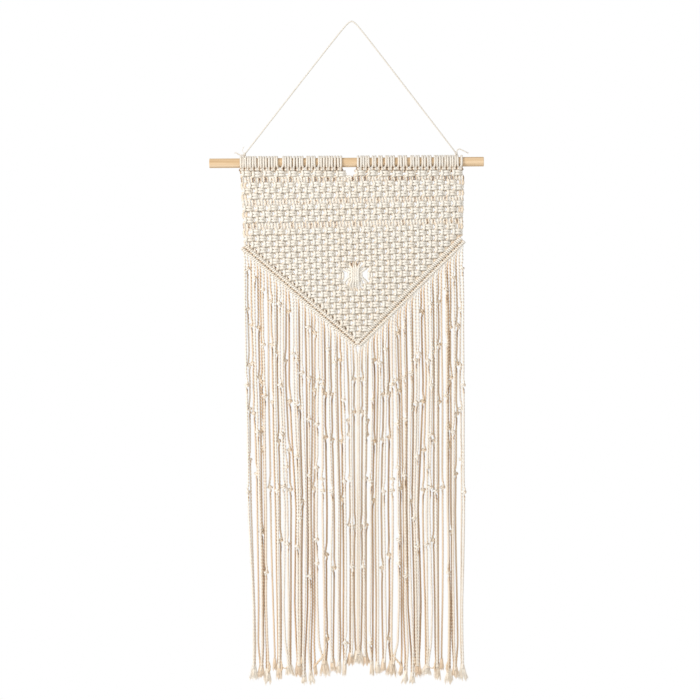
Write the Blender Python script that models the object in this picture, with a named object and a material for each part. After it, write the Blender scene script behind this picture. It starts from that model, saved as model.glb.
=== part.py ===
"""Macrame wall hanging: a knotted cotton panel with a V border and a long fringe, on a wooden dowel.

Metres, +Z up, the face towards -Y. The origin is the underside of the bend in the hanging twine,
where the nail carries it. The cotton work is a mesh of fused strands: lark's heads on the dowel, a
panel of square knots, a border of half hitches and a fringe of single strands with overhand knots.
"""

import math
import random
from collections import namedtuple

import bmesh
import bpy
from mathutils import Vector

MM = 0.001

# Fits
CLEARANCE = 0.3 * MM

# Dowel
ROD_LENGTH = 432 * MM
ROD_RADIUS = 7.5 * MM
ROD_EDGE_BEVEL = 0.6 * MM
ROD_SIDES = 32
ROD_CENTRE = Vector((-7.9 * MM, 0.0, -221.1 * MM))
ROD_TILT = math.radians(0.35)

# The plane in which the cotton work hangs, behind the front of the dowel
WORK_DEPTH = -6.2 * MM

# Lark's heads. Places along X are where the row is parted for the ties and the bare middle.
HEADING_SIDES = 12
HEADING_PITCH = 9.3 * MM
HEADING_GROOVE = 1.3 * MM
HEADING_BORE = ROD_RADIUS + CLEARANCE
HEADING_FOOT = 15.2 * MM
HEADING_OUTER_LEFT = -175.6 * MM
HEADING_OUTER_RIGHT = 173.8 * MM
HEADING_BARE_LEFT = -13.4 * MM
HEADING_BARE_RIGHT = 6.6 * MM

# How far the lark's heads reach from the dowel's axis. The turn starts straight up and goes by the front.
HeadingReach = namedtuple("HeadingReach", "turn_deg reach_mm")
HEADING_SECTION = (
    HeadingReach(0, 10.9),
    HeadingReach(30, 10.9),
    HeadingReach(60, 11.0),
    HeadingReach(90, 11.2),
    HeadingReach(120, 13.0),
    HeadingReach(150, 17.5),
    HeadingReach(180, 14.6),
    HeadingReach(210, 11.4),
    HeadingReach(240, 10.9),
    HeadingReach(270, 10.9),
    HeadingReach(300, 10.9),
    HeadingReach(330, 10.9),
)

# V border: the middle line between its two rows of half hitches
V_LEFT = Vector((-170.8 * MM, 0.0, -353.7 * MM))
V_TIP = Vector((9.6 * MM, 0.0, -508.6 * MM))
V_RIGHT = Vector((175.2 * MM, 0.0, -343.6 * MM))
V_HALF_WIDTH = 6.3 * MM
V_RIDGES = 18
V_GROOVE_SHARE = 0.86

# Section across the V border: two rounded rows with a groove between them
BorderSection = namedtuple("BorderSection", "across_mm front_mm back_mm")
V_SECTION = (
    BorderSection(-6.3, 3.5, 3.5),
    BorderSection(-3.2, 5.3, 5.0),
    BorderSection(0.0, 3.0, 3.4),
    BorderSection(3.2, 5.3, 5.0),
    BorderSection(6.3, 2.6, 2.8),
)

# Panel
PANEL_LEFT = -172.6 * MM
PANEL_RIGHT = 174.4 * MM
PANEL_COLUMNS = 36
PANEL_ROW_PITCH = 18.2 * MM
PANEL_BACK = 4.2 * MM
PANEL_FRONT = 2.2 * MM
PANEL_KNOT_HEIGHT = 3.4 * MM
PANEL_EDGE_RISE = 1.2 * MM
PANEL_SCALLOP = 1.0 * MM
PANEL_LAST_ROW_SHARE = 0.4

# Notch under the bare middle of the dowel
NOTCH_HALF_WIDTH = 5.3 * MM
NOTCH_DEPTH = 10.5 * MM
NOTCH_CENTRE_X = -1.6 * MM

# Cutters stand out this far on both sides of the panel
CUTTER_REACH = 15 * MM

# Slits beside the gathered knot: lens shapes, straight on the outer side
Slit = namedtuple("Slit", "name outer_x_mm centre_z_mm height_mm width_mm lean_mm")
SLITS = (
    Slit("slit_left", -13.8, -400.6, 18.4, 6.9, 0.9),
    Slit("slit_right", 24.9, -398.7, 21.0, -7.0, 0.4),
)
SLIT_STEPS = 6

# Gathered knot
GATHER_CENTRE = Vector((5.3 * MM, WORK_DEPTH - 2.6 * MM, -397.0 * MM))
GATHER_RADII = Vector((7.2 * MM, 5.2 * MM, 9.4 * MM))
GATHER_SEGMENTS = 10
GATHER_RINGS = 6

# Fringe: strands hang in two layers, front and back by turns
STRANDS_PER_SIDE = 36
STRAND_HALF_WIDTH = 1.6 * MM
STRAND_LAYER_OFFSET = 2.35 * MM
STRAND_ROOT_ACROSS = 3.1 * MM
STRAND_SCATTER = 0.5 * MM
STRAND_EDGE_INSET = 2.4 * MM
FRINGE_BOTTOM_LEFT = -153.4 * MM
FRINGE_BOTTOM_RIGHT = 173.6 * MM
FRINGE_BOTTOM_MIDDLE = 10.2 * MM
FRINGE_MIDDLE_GAP = 2.2 * MM
TUFT_LENGTH = 17 * MM
TUFT_HALF_WIDTH = 2.4 * MM
TUFT_END_HALF_WIDTH = 1.5 * MM
TUFT_MIDDLE_SHARE = 0.4

# Lowest points of the fringe, from the middle of the hanging outwards, alike on both sides
TuftTip = namedtuple("TuftTip", "share_out tip_z_mm")
TUFT_TIPS = (
    TuftTip(0.00, -1003.0),
    TuftTip(0.08, -1007.0),
    TuftTip(0.13, -1026.5),
    TuftTip(0.30, -1026.0),
    TuftTip(0.42, -1027.0),
    TuftTip(0.50, -1039.0),
    TuftTip(0.57, -1026.5),
    TuftTip(0.68, -1028.0),
    TuftTip(0.86, -1040.0),
    TuftTip(0.94, -1027.0),
    TuftTip(1.00, -1034.0),
)

# Overhand knots that tie two neighbouring strands, counted from the outer edge of each side
KnotTier = namedtuple("KnotTier", "drop_mm first_strand step count scatter_mm")
KNOT_TIERS = (
    KnotTier(33, 1, 6, 6, 6),
    KnotTier(91, 4, 6, 6, 7),
    KnotTier(160, 8, 6, 5, 9),
)
KNOT_SIDES = 6
KNOT_HALF_WIDTH = 3.5 * MM
KNOT_HALF_DEPTH = 4.6 * MM
KNOT_STRAND_SPREAD = 0.8 * MM
KnotRing = namedtuple("KnotRing", "rise_mm share")
KNOT_RINGS = (
    KnotRing(5.0, 0.5),
    KnotRing(2.4, 1.0),
    KnotRing(0.0, 0.88),
    KnotRing(-2.4, 1.0),
    KnotRing(-5.0, 0.5),
)

# Hanging twine
TWINE_RADIUS = 1.0 * MM
TWINE_POINTS = 72
TWINE_POINT_CROWDING = 1.5
TWINE_BEND = 7.2 * MM
TWINE_BEVEL_RESOLUTION = 2

# Ties of the twine round the dowel, between two lark's heads. A tail is a route of (x, z) points.
Tie = namedtuple("Tie", "name ring_x_mm knot_x_mm knot_z_mm tails")
TIE_KNOT_RADIUS = 2.1 * MM
TIE_SLOT_HALF = TWINE_RADIUS + CLEARANCE
TIE_RING_STEPS = 20
TIE_TWINE_SIDES = 6
TIE_TAIL_STEPS = 3
TIE_KNOT_SEGMENTS = 8
TIE_KNOT_RINGS = 6
TIES = (
    Tie(
        "hanger_tie_left",
        -168.2,
        -168.6,
        -208.4,
        (
            ((-168.8, -208.4), (-173.6, -207.8), (-178.8, -208.2), (-182.4, -205.6)),
            ((-168.8, -208.2), (-172.2, -204.6), (-172.4, -200.6), (-169.4, -195.9)),
        ),
    ),
    Tie(
        "hanger_tie_right",
        165.4,
        164.8,
        -206.8,
        (
            ((164.8, -206.8), (166.6, -201.4), (169.4, -199.8), (173.6, -201.4), (182.2, -205.4)),
        ),
    ),
)

COTTON = (0.84, 0.78, 0.68, 1.0)
COTTON_SHADE = (0.80, 0.72, 0.60, 1.0)
TWINE_COLOUR = (0.80, 0.76, 0.68, 1.0)
PINE = (0.78, 0.58, 0.36, 1.0)
COTTON_ROUGHNESS = 0.9
PINE_ROUGHNESS = 0.6


def clear_scene():
    for thing in list(bpy.data.objects):
        bpy.data.objects.remove(thing, do_unlink=True)


def make_material(name, colour, roughness):
    material = bpy.data.materials.new(name)
    material.use_nodes = True
    shader = material.node_tree.nodes["Principled BSDF"]
    shader.inputs["Base Color"].default_value = colour
    shader.inputs["Roughness"].default_value = roughness
    shader.inputs["Metallic"].default_value = 0.0
    return material


def add_object(name, shape, colour=COTTON, roughness=COTTON_ROUGHNESS, smooth_deg=None):
    """Turns a bmesh into a scene object with its own material."""
    bmesh.ops.recalc_face_normals(shape, faces=shape.faces)
    mesh = bpy.data.meshes.new(name)
    shape.to_mesh(mesh)
    shape.free()
    if smooth_deg is not None:
        mesh.shade_smooth()
        mesh.set_sharp_from_angle(angle=math.radians(smooth_deg))
    mesh.materials.append(make_material(name, colour, roughness))
    thing = bpy.data.objects.new(name, mesh)
    bpy.context.scene.collection.objects.link(thing)
    return thing


def add_tool(name, shape):
    """An operand of a Boolean, which is not a piece of the hanging."""
    tool = add_object(name, shape)
    tool.hide_render = True
    tool.display_type = "WIRE"
    return tool


def combine(target, tool, operation):
    modifier = target.modifiers.new(f"{operation.lower()}_{tool.name}", "BOOLEAN")
    modifier.operation = operation
    modifier.object = tool
    modifier.solver = "EXACT"


def mix(start, end, share):
    return start + (end - start) * share


def loft(shape, rings):
    """A closed skin over rings of the same number of points, with flat ends."""
    made = [[shape.verts.new(point) for point in ring] for ring in rings]
    count = len(rings[0])
    for upper, lower in zip(made, made[1:]):
        for side in range(count):
            after = (side + 1) % count
            shape.faces.new((upper[side], upper[after], lower[after], lower[side]))
    shape.faces.new(made[0])
    shape.faces.new(reversed(made[-1]))


def sweep(shape, path, radius, sides):
    """A round tube along a path of points."""
    rings = []
    for index, point in enumerate(path):
        before = path[max(index - 1, 0)]
        after = path[min(index + 1, len(path) - 1)]
        along = (after - before).normalized()
        across = along.cross(Vector((0, 1, 0))).normalized()
        depth = across.cross(along)
        ring = []
        for side in range(sides):
            turn = math.tau * side / sides
            ring.append(point + across * radius * math.cos(turn) + depth * radius * math.sin(turn))
        rings.append(ring)
    loft(shape, rings)


def spheroid(shape, centre, radii, segments, rings):
    made = bmesh.ops.create_uvsphere(shape, u_segments=segments, v_segments=rings, radius=1.0)
    for vertex in made["verts"]:
        vertex.co = centre + Vector(a * b for a, b in zip(vertex.co, radii))


def rod_height(x):
    return ROD_CENTRE.z + (x - ROD_CENTRE.x) * math.tan(ROD_TILT)


def v_slope(x):
    end = V_LEFT if x < V_TIP.x else V_RIGHT
    return (end.z - V_TIP.z) / abs(end.x - V_TIP.x)


def v_height(x):
    return V_TIP.z + v_slope(x) * abs(x - V_TIP.x)


def v_stretch(x):
    """How much longer a vertical cut through the border is than a square one."""
    return math.hypot(1.0, v_slope(x))


def place_on_rod(thing):
    thing.location = ROD_CENTRE
    thing.rotation_euler = (0.0, -ROD_TILT, 0.0)


def build_rod():
    shape = bmesh.new()
    bevel = ROD_EDGE_BEVEL
    half = ROD_LENGTH / 2
    stations = (
        (-half, ROD_RADIUS - bevel),
        (-half + bevel, ROD_RADIUS),
        (half - bevel, ROD_RADIUS),
        (half, ROD_RADIUS - bevel),
    )
    rings = []
    for x, radius in stations:
        turns = (math.tau * side / ROD_SIDES for side in range(ROD_SIDES))
        rings.append([Vector((x, radius * math.cos(turn), radius * math.sin(turn))) for turn in turns])
    loft(shape, rings)
    place_on_rod(add_object("rod", shape, PINE, PINE_ROUGHNESS, smooth_deg=30))


def heading_ring(x, groove):
    ring = []
    for row in HEADING_SECTION:
        turn = math.radians(row.turn_deg)
        reach = row.reach_mm * MM - groove
        ring.append(Vector((x, -reach * math.sin(turn), reach * math.cos(turn))))
    return ring


def bore_ring(x):
    radius = HEADING_BORE / math.cos(math.pi / HEADING_SIDES)
    turns = (math.tau * side / HEADING_SIDES for side in range(HEADING_SIDES))
    return [Vector((x, -radius * math.sin(turn), radius * math.cos(turn))) for turn in turns]


def build_heading(name, left, right):
    """A run of lark's heads: a ridged sleeve round the dowel with the bar of the knots at its foot."""
    shape = bmesh.new()
    left -= ROD_CENTRE.x
    right -= ROD_CENTRE.x
    knots = max(1, round((right - left) / HEADING_PITCH))
    steps = 2 * knots
    rings = []
    for step in range(steps + 1):
        groove = 0.0 if step % 2 else HEADING_GROOVE
        rings.append(heading_ring(mix(left, right, step / steps), groove))
    rings.append(bore_ring(right))
    rings.append(bore_ring(left))
    made = [[shape.verts.new(point) for point in ring] for ring in rings]
    for index, ring in enumerate(made):
        following = made[(index + 1) % len(made)]
        for side in range(HEADING_SIDES):
            after = (side + 1) % HEADING_SIDES
            shape.faces.new((ring[side], ring[after], following[after], following[side]))
    place_on_rod(add_object(name, shape))


def build_headings():
    left_slot = TIES[0].ring_x_mm * MM
    right_slot = TIES[1].ring_x_mm * MM
    build_heading("heading_left_end", HEADING_OUTER_LEFT, left_slot - TIE_SLOT_HALF)
    build_heading("heading_left", left_slot + TIE_SLOT_HALF, HEADING_BARE_LEFT)
    build_heading("heading_right", HEADING_BARE_RIGHT, right_slot - TIE_SLOT_HALF)
    build_heading("heading_right_end", right_slot + TIE_SLOT_HALF, HEADING_OUTER_RIGHT)


def panel_top(x):
    return rod_height(x) - HEADING_FOOT - CLEARANCE


def panel_foot(x):
    return v_height(x) + (V_HALF_WIDTH + CLEARANCE) * v_stretch(x)


def panel_column(shape, column):
    """The points of one column of the panel's face, from its top to the V border."""
    x = mix(PANEL_LEFT, PANEL_RIGHT, column / PANEL_COLUMNS)
    top = panel_top(x)
    foot = panel_foot(x)
    rows = int((top - foot) / PANEL_ROW_PITCH - PANEL_LAST_ROW_SHARE)
    points = []
    for row in range(rows + 2):
        at_foot = row == rows + 1
        z = foot if at_foot else top - row * PANEL_ROW_PITCH
        knot = (row + column) % 2 == 0
        outer = column in (0, PANEL_COLUMNS)
        edge = outer or at_foot or row == 0
        rise = PANEL_EDGE_RISE if edge else PANEL_KNOT_HEIGHT if knot else 0.0
        bulge = PANEL_SCALLOP if outer and knot and not at_foot else 0.0
        outward = -bulge if column == 0 else bulge
        points.append(shape.verts.new((x + outward, WORK_DEPTH - PANEL_FRONT - rise, z)))
    return points


def panel_shape():
    """Ridges join the raised knots, and the hollows between them are where the mesh is thin."""
    shape = bmesh.new()
    columns = [panel_column(shape, column) for column in range(PANEL_COLUMNS + 1)]
    for index, (left, right) in enumerate(zip(columns, columns[1:])):
        shared = min(len(left), len(right))
        for row in range(shared - 1):
            corners = (left[row], left[row + 1], right[row + 1], right[row])
            if (index + row) % 2 == 0:
                shape.faces.new((corners[0], corners[1], corners[2]))
                shape.faces.new((corners[0], corners[2], corners[3]))
            else:
                shape.faces.new((corners[0], corners[1], corners[3]))
                shape.faces.new((corners[1], corners[2], corners[3]))
        for row in range(shared - 1, len(left) - 1):
            shape.faces.new((left[row], left[row + 1], right[-1]))
        for row in range(shared - 1, len(right) - 1):
            shape.faces.new((left[-1], right[row + 1], right[row]))
    rim = [edge for edge in shape.edges if edge.is_boundary]
    extruded = bmesh.ops.extrude_edge_only(shape, edges=rim)["geom"]
    for vertex in (item for item in extruded if isinstance(item, bmesh.types.BMVert)):
        vertex.co.y = WORK_DEPTH + PANEL_BACK
    open_edges = [edge for edge in shape.edges if edge.is_boundary]
    bmesh.ops.contextual_create(shape, geom=open_edges)
    return shape


def through_cutter(name, outline):
    """A prism through the panel, from a closed outline of (x, z) points."""
    shape = bmesh.new()
    depths = (WORK_DEPTH - CUTTER_REACH, WORK_DEPTH + CUTTER_REACH)
    loft(shape, [[Vector((x, y, z)) for x, z in outline] for y in depths])
    return add_tool(name, shape)


def slit_outline(slit):
    outer = []
    inner = []
    for step in range(SLIT_STEPS + 1):
        share = 2 * step / SLIT_STEPS - 1
        z = (slit.centre_z_mm + share * slit.height_mm / 2) * MM
        x = (slit.outer_x_mm - share * slit.lean_mm) * MM
        outer.append((x, z))
        inner.append((x + slit.width_mm * MM * (1 - share * share), z))
    return outer + inner[-2:0:-1]


def notch_outline():
    top = panel_top(NOTCH_CENTRE_X) + 2 * CLEARANCE
    return (
        (NOTCH_CENTRE_X - NOTCH_HALF_WIDTH, top),
        (NOTCH_CENTRE_X, top - NOTCH_DEPTH),
        (NOTCH_CENTRE_X + NOTCH_HALF_WIDTH, top),
    )


def build_panel():
    panel = add_object("panel", panel_shape())
    knot = bmesh.new()
    spheroid(knot, GATHER_CENTRE, GATHER_RADII, GATHER_SEGMENTS, GATHER_RINGS)
    combine(panel, add_tool("gathered_knot", knot), "UNION")
    for slit in SLITS:
        combine(panel, through_cutter(slit.name, slit_outline(slit)), "DIFFERENCE")
    combine(panel, through_cutter("notch", notch_outline()), "DIFFERENCE")


def border_shape(outer_x, inner_x):
    """Two ridged rows of half hitches, side by side, down one side of the V."""
    shape = bmesh.new()
    steps = 2 * V_RIDGES
    rings = []
    for step in range(steps + 1):
        x = mix(outer_x, inner_x, step / steps)
        swell = 1.0 if step % 2 else V_GROOVE_SHARE
        front = []
        back = []
        for row in V_SECTION:
            z = v_height(x) + row.across_mm * MM * v_stretch(x)
            front.append(Vector((x, WORK_DEPTH - row.front_mm * MM * swell, z)))
            back.append(Vector((x, WORK_DEPTH + row.back_mm * MM * swell, z)))
        rings.append(front + back[::-1])
    loft(shape, rings)
    return shape


def tuft_tip(share_out):
    for near, far in zip(TUFT_TIPS, TUFT_TIPS[1:]):
        if share_out <= far.share_out:
            share = (share_out - near.share_out) / (far.share_out - near.share_out)
            return mix(near.tip_z_mm, far.tip_z_mm, share) * MM
    return TUFT_TIPS[-1].tip_z_mm * MM


class Strand:
    """One hanging strand: its straight line from root to tip, and the places where it is knotted."""

    def __init__(self, number, first_layer, outer_x, inner_x, bottom_outer, bottom_inner):
        share_out = 1 - number / (STRANDS_PER_SIDE - 1)
        self.top_x = mix(inner_x, outer_x, share_out)
        self.bottom_x = mix(bottom_inner, bottom_outer, share_out)
        self.root_z = v_height(self.top_x) - STRAND_ROOT_ACROSS * v_stretch(self.top_x)
        self.tip_z = tuft_tip(share_out)
        layer = -first_layer if number % 2 else first_layer
        self.y = WORK_DEPTH + layer * STRAND_LAYER_OFFSET
        self.knots = []

    def line_x(self, z):
        return mix(self.top_x, self.bottom_x, (self.root_z - z) / (self.root_z - self.tip_z))

    def stations(self, scatter):
        """Height, place across and half width, from the root down."""
        tuft_top = self.tip_z + TUFT_LENGTH
        tuft_middle = self.tip_z + TUFT_LENGTH * TUFT_MIDDLE_SHARE
        found = [(self.root_z, self.top_x, STRAND_HALF_WIDTH)]
        for z, x in sorted(self.knots, reverse=True):
            found.append((z, x, STRAND_HALF_WIDTH))
        for z, half_width in (
            (tuft_top, STRAND_HALF_WIDTH),
            (tuft_middle, TUFT_HALF_WIDTH),
            (self.tip_z, TUFT_END_HALF_WIDTH),
        ):
            found.append((z, self.line_x(z) + scatter.uniform(-1, 1) * STRAND_SCATTER, half_width))
        return found


def strand_shape(strands, scatter):
    shape = bmesh.new()
    for strand in strands:
        rings = []
        for z, x, half in strand.stations(scatter):
            depth = STRAND_HALF_WIDTH
            corners = ((-half, -depth), (half, -depth), (half, depth), (-half, depth))
            rings.append([Vector((x + dx, strand.y + dy, z)) for dx, dy in corners])
        loft(shape, rings)
    return shape


def knot_shape(strands, scatter):
    """Overhand knots, each closing on two neighbouring strands, which it also records on them."""
    shape = bmesh.new()
    for tier in KNOT_TIERS:
        for order in range(tier.count):
            number = tier.first_strand + order * tier.step
            pair = strands[number], strands[number + 1]
            drop = (tier.drop_mm + scatter.uniform(-1, 1) * tier.scatter_mm) * MM
            z = (pair[0].root_z + pair[1].root_z) / 2 - drop
            x = (pair[0].line_x(z) + pair[1].line_x(z)) / 2
            towards = 1 if pair[1].top_x > pair[0].top_x else -1
            pair[0].knots.append((z, x - towards * KNOT_STRAND_SPREAD))
            pair[1].knots.append((z, x + towards * KNOT_STRAND_SPREAD))
            rings = []
            for level in KNOT_RINGS:
                ring = []
                for side in range(KNOT_SIDES):
                    turn = math.tau * side / KNOT_SIDES
                    dx = KNOT_HALF_WIDTH * level.share * math.cos(turn)
                    dy = KNOT_HALF_DEPTH * level.share * math.sin(turn)
                    ring.append(Vector((x + dx, WORK_DEPTH + dy, z + level.rise_mm * MM)))
                rings.append(ring)
            loft(shape, rings)
    return shape


def build_fringe(name, outer, bottom_outer, seed):
    """One side of the V border with the strands that hang from it."""
    scatter = random.Random(seed)
    towards = 1 if outer.x > V_TIP.x else -1
    tip_x = V_TIP.x + towards * CLEARANCE / 2
    outer_x = outer.x - towards * STRAND_EDGE_INSET
    inner_x = tip_x + towards * STRAND_EDGE_INSET
    bottom_inner = FRINGE_BOTTOM_MIDDLE + towards * FRINGE_MIDDLE_GAP
    strands = [
        Strand(number, towards, outer_x, inner_x, bottom_outer, bottom_inner)
        for number in range(STRANDS_PER_SIDE)
    ]
    knots = add_tool(f"{name}_knots", knot_shape(strands, scatter))
    hanging = add_tool(f"{name}_strands", strand_shape(strands, scatter))
    fringe = add_object(name, border_shape(outer.x, tip_x), COTTON_SHADE)
    combine(fringe, hanging, "UNION")
    combine(fringe, knots, "UNION")


def smooth_path(knots):
    """Points on a Catmull-Rom curve through the given ones."""
    padded = [2 * knots[0] - knots[1], *knots, 2 * knots[-1] - knots[-2]]
    path = []
    for before, start, end, after in zip(padded, padded[1:], padded[2:], padded[3:]):
        for step in range(TIE_TAIL_STEPS):
            share = step / TIE_TAIL_STEPS
            path.append(
                0.5 * (
                    2 * start
                    + (end - before) * share
                    + (2 * before - 5 * start + 4 * end - after) * share**2
                    + (3 * start - before - 3 * end + after) * share**3
                )
            )
    path.append(knots[-1])
    return path


def build_tie(tie):
    """One turn of twine round the dowel, its knot on top and its free ends."""
    ring = bmesh.new()
    rings = []
    centre = Vector((tie.ring_x_mm * MM, 0.0, rod_height(tie.ring_x_mm * MM)))
    reach = HEADING_BORE / math.cos(math.pi / TIE_RING_STEPS) + TWINE_RADIUS
    for step in range(TIE_RING_STEPS):
        turn = math.tau * step / TIE_RING_STEPS
        outward = Vector((0.0, -math.sin(turn), math.cos(turn)))
        points = []
        for side in range(TIE_TWINE_SIDES):
            roll = math.tau * side / TIE_TWINE_SIDES
            along = Vector((TWINE_RADIUS * math.cos(roll), 0.0, 0.0))
            points.append(ring.verts.new(centre + outward * (reach + TWINE_RADIUS * math.sin(roll)) + along))
        rings.append(points)
    for index, points in enumerate(rings):
        following = rings[(index + 1) % TIE_RING_STEPS]
        for side in range(TIE_TWINE_SIDES):
            after = (side + 1) % TIE_TWINE_SIDES
            ring.faces.new((points[side], points[after], following[after], following[side]))
    body = add_object(tie.name, ring, TWINE_COLOUR)
    knot = bmesh.new()
    knot_centre = Vector((tie.knot_x_mm * MM, 0.0, tie.knot_z_mm * MM))
    radii = Vector((TIE_KNOT_RADIUS, TIE_KNOT_RADIUS, TIE_KNOT_RADIUS))
    spheroid(knot, knot_centre, radii, TIE_KNOT_SEGMENTS, TIE_KNOT_RINGS)
    combine(body, add_tool(f"{tie.name}_knot", knot), "UNION")
    neck = bmesh.new()
    sweep(neck, [centre + Vector((0.0, 0.0, reach)), knot_centre], TWINE_RADIUS, TIE_TWINE_SIDES)
    combine(body, add_tool(f"{tie.name}_neck", neck), "UNION")
    for number, tail in enumerate(tie.tails):
        shape = bmesh.new()
        path = smooth_path([Vector((x * MM, 0.0, z * MM)) for x, z in tail])
        sweep(shape, path, TWINE_RADIUS, TIE_TWINE_SIDES)
        combine(body, add_tool(f"{tie.name}_tail_{number}", shape), "UNION")


def twine_point(tie, share):
    """A point between the nail and a tie. The twine is straight but for its round bend at the nail."""
    reach_x = tie.knot_x_mm * MM
    fall = TWINE_RADIUS - tie.knot_z_mm * MM
    slope = math.sqrt((fall + TWINE_BEND) ** 2 - TWINE_BEND**2) / abs(reach_x)
    x = reach_x * share
    z = TWINE_RADIUS - (math.hypot(slope * x, TWINE_BEND) - TWINE_BEND)
    return Vector((x, 0.0, z))


def build_twine():
    curve = bpy.data.curves.new("hanger_cord", "CURVE")
    curve.dimensions = "3D"
    curve.bevel_depth = TWINE_RADIUS
    curve.bevel_resolution = TWINE_BEVEL_RESOLUTION
    curve.use_fill_caps = True
    half = TWINE_POINTS // 2
    length = Vector((TIES[0].knot_x_mm, TIES[0].knot_z_mm)).length * MM
    cut = 1 - (TIE_KNOT_RADIUS + CLEARANCE) / length
    # Points crowd towards the bend, and lie farther apart on the straight stretches
    shares = [cut * (step / half) ** TWINE_POINT_CROWDING for step in range(1, half + 1)]
    left = [twine_point(TIES[0], share) for share in reversed(shares)]
    right = [twine_point(TIES[1], share) for share in shares]
    points = left + [twine_point(TIES[0], 0.0)] + right
    spline = curve.splines.new("POLY")
    spline.points.add(len(points) - 1)
    for target, point in zip(spline.points, points):
        target.co = (*point, 1.0)
    curve.materials.append(make_material("hanger_cord", TWINE_COLOUR, COTTON_ROUGHNESS))
    thing = bpy.data.objects.new("hanger_cord", curve)
    bpy.context.scene.collection.objects.link(thing)


def main():
    clear_scene()
    build_rod()
    build_headings()
    build_panel()
    build_fringe("fringe_left", V_LEFT, FRINGE_BOTTOM_LEFT, seed=4)
    build_fringe("fringe_right", V_RIGHT, FRINGE_BOTTOM_RIGHT, seed=9)
    for tie in TIES:
        build_tie(tie)
    build_twine()


main()
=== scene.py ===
"""Macrame wall hanging: the looks of its cords, knots, fringe, dowel and twine.

Everything is built from routes of control points in millimetres, in the frame's axes: x to the
right, y away from the viewer, z up. Places read off the photograph are given in its pixels and
turned into millimetres by place().
"""

import math
import random

import bpy
import numpy as np
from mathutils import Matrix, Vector


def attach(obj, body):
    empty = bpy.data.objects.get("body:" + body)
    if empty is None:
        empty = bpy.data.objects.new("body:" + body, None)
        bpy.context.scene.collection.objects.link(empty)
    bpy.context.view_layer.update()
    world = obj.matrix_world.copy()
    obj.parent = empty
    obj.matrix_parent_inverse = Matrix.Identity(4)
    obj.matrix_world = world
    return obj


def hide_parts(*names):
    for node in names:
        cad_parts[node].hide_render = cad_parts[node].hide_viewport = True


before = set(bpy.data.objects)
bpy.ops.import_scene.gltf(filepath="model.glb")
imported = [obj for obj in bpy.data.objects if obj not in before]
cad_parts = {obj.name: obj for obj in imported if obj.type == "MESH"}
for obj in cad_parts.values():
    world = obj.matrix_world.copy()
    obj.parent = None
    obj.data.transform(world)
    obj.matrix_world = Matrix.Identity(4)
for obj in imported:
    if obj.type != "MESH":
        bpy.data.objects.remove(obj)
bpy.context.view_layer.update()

MM = 0.001

# ---- The photograph's scale at the work, and where the frame's origin is in it
MM_PER_PIXEL = 1.5726
ORIGIN_PIXEL = (351.6, 21.6)

# ---- Depths: the rod's axis is at y = 0, and the work hangs in front of it
WORK_Y = -6.2
LAYER_Y = 2.4

# ---- Cords
HEAD_RADIUS = 2.0
PANEL_RADIUS = 2.2
BORDER_RADIUS = 1.65
FRINGE_RADIUS = 2.32
FRINGE_BEHIND = 0.76
PLY_PITCH = 15.6
CORDS = 72
HALF = CORDS // 2
# The sides of the work, as a hand's sign and its name
HANDS = {-1: "left", 1: "right"}

# ---- The rod
ROD_RADIUS = 7.5
ROD_CENTRE_X = -7.9
ROD_CENTRE_Z = -221.1
ROD_TILT = math.radians(0.35)


def place(x_pixel, y_pixel):
    """The x and z in millimetres of a pixel of the photograph."""
    return (x_pixel - ORIGIN_PIXEL[0]) * MM_PER_PIXEL, (ORIGIN_PIXEL[1] - y_pixel) * MM_PER_PIXEL


def rod_z(x):
    """The height of the rod's axis at x."""
    return ROD_CENTRE_Z + (x - ROD_CENTRE_X) * math.tan(ROD_TILT)


def mix(start, end, share):
    return start + (end - start) * share


def smooth_step(share):
    """From 0 to 1 with level ends, as share goes from 0 to 1."""
    share = min(max(share, 0.0), 1.0)
    return share * share * (3 - 2 * share)


# ---------------------------------------------------------------- cords as meshes

# Painted shade on a side starts this far round to the side, of 1, and is fully brown this much further
# on
SHADE_FROM, SHADE_BLEND = 0.3, 0.5
# Up to this shade only the grooves between the plies get browner, and above it the crowns do too
GROOVE_SHADE = 1.3
# A face's corners, as steps round the tube and along it, and the length that the map takes as 1
CORNERS = ((0, 0), (1, 0), (1, 1), (0, 1))
UV_LENGTH = 10.0


class Route:
    """The control points of one cord and the part that each stretch belongs to.

    A point is x, y, z, radius, tone and shade. The shade is painted shade: how much browner its
    right side is, or below 0 its left side.
    """

    def __init__(self, radius, tone):
        self.radius = radius
        self.tone = tone
        self.points = []
        self.parts = []

    def to(self, part, x, y, z, radius=None, tone=None, shade=0.0):
        """Takes the route on to a point, with the route's own radius and tone where none is given."""
        radius = self.radius if radius is None else radius
        self.points.append((x, y, z, radius, self.tone if tone is None else tone, shade))
        self.parts.append(part)


def curve_through(points, per_span):
    """A centripetal Catmull-Rom curve through rows that start with x, y and z.

    Each span between two points gives one block of samples.
    """
    ends = np.array([2 * points[0] - points[1], 2 * points[-1] - points[-2]])
    p = np.vstack([ends[:1], points, ends[1:]])
    gaps = np.maximum(np.linalg.norm(np.diff(p[:, :3], axis=0), axis=1), 1e-4) ** 0.5
    g0, g1, g2 = (gaps[i : len(gaps) - 2 + i, None] for i in range(3))
    p0, p1, p2, p3 = (p[i : len(p) - 3 + i] for i in range(4))
    m1 = ((p1 - p0) / g0 - (p2 - p0) / (g0 + g1) + (p2 - p1) / g1) * g1
    m2 = ((p2 - p1) / g1 - (p3 - p1) / (g1 + g2) + (p3 - p2) / g2) * g1
    t = np.linspace(0, 1, per_span + 1)[None, :, None]
    a, b, c, d = (v[:, None, :] for v in (p1, p2, m1, m2))
    return (
        (2 * t**3 - 3 * t**2 + 1) * a
        + (t**3 - 2 * t**2 + t) * c
        + (3 * t**2 - 2 * t**3) * b
        + (t**3 - t**2) * d
    )


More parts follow.
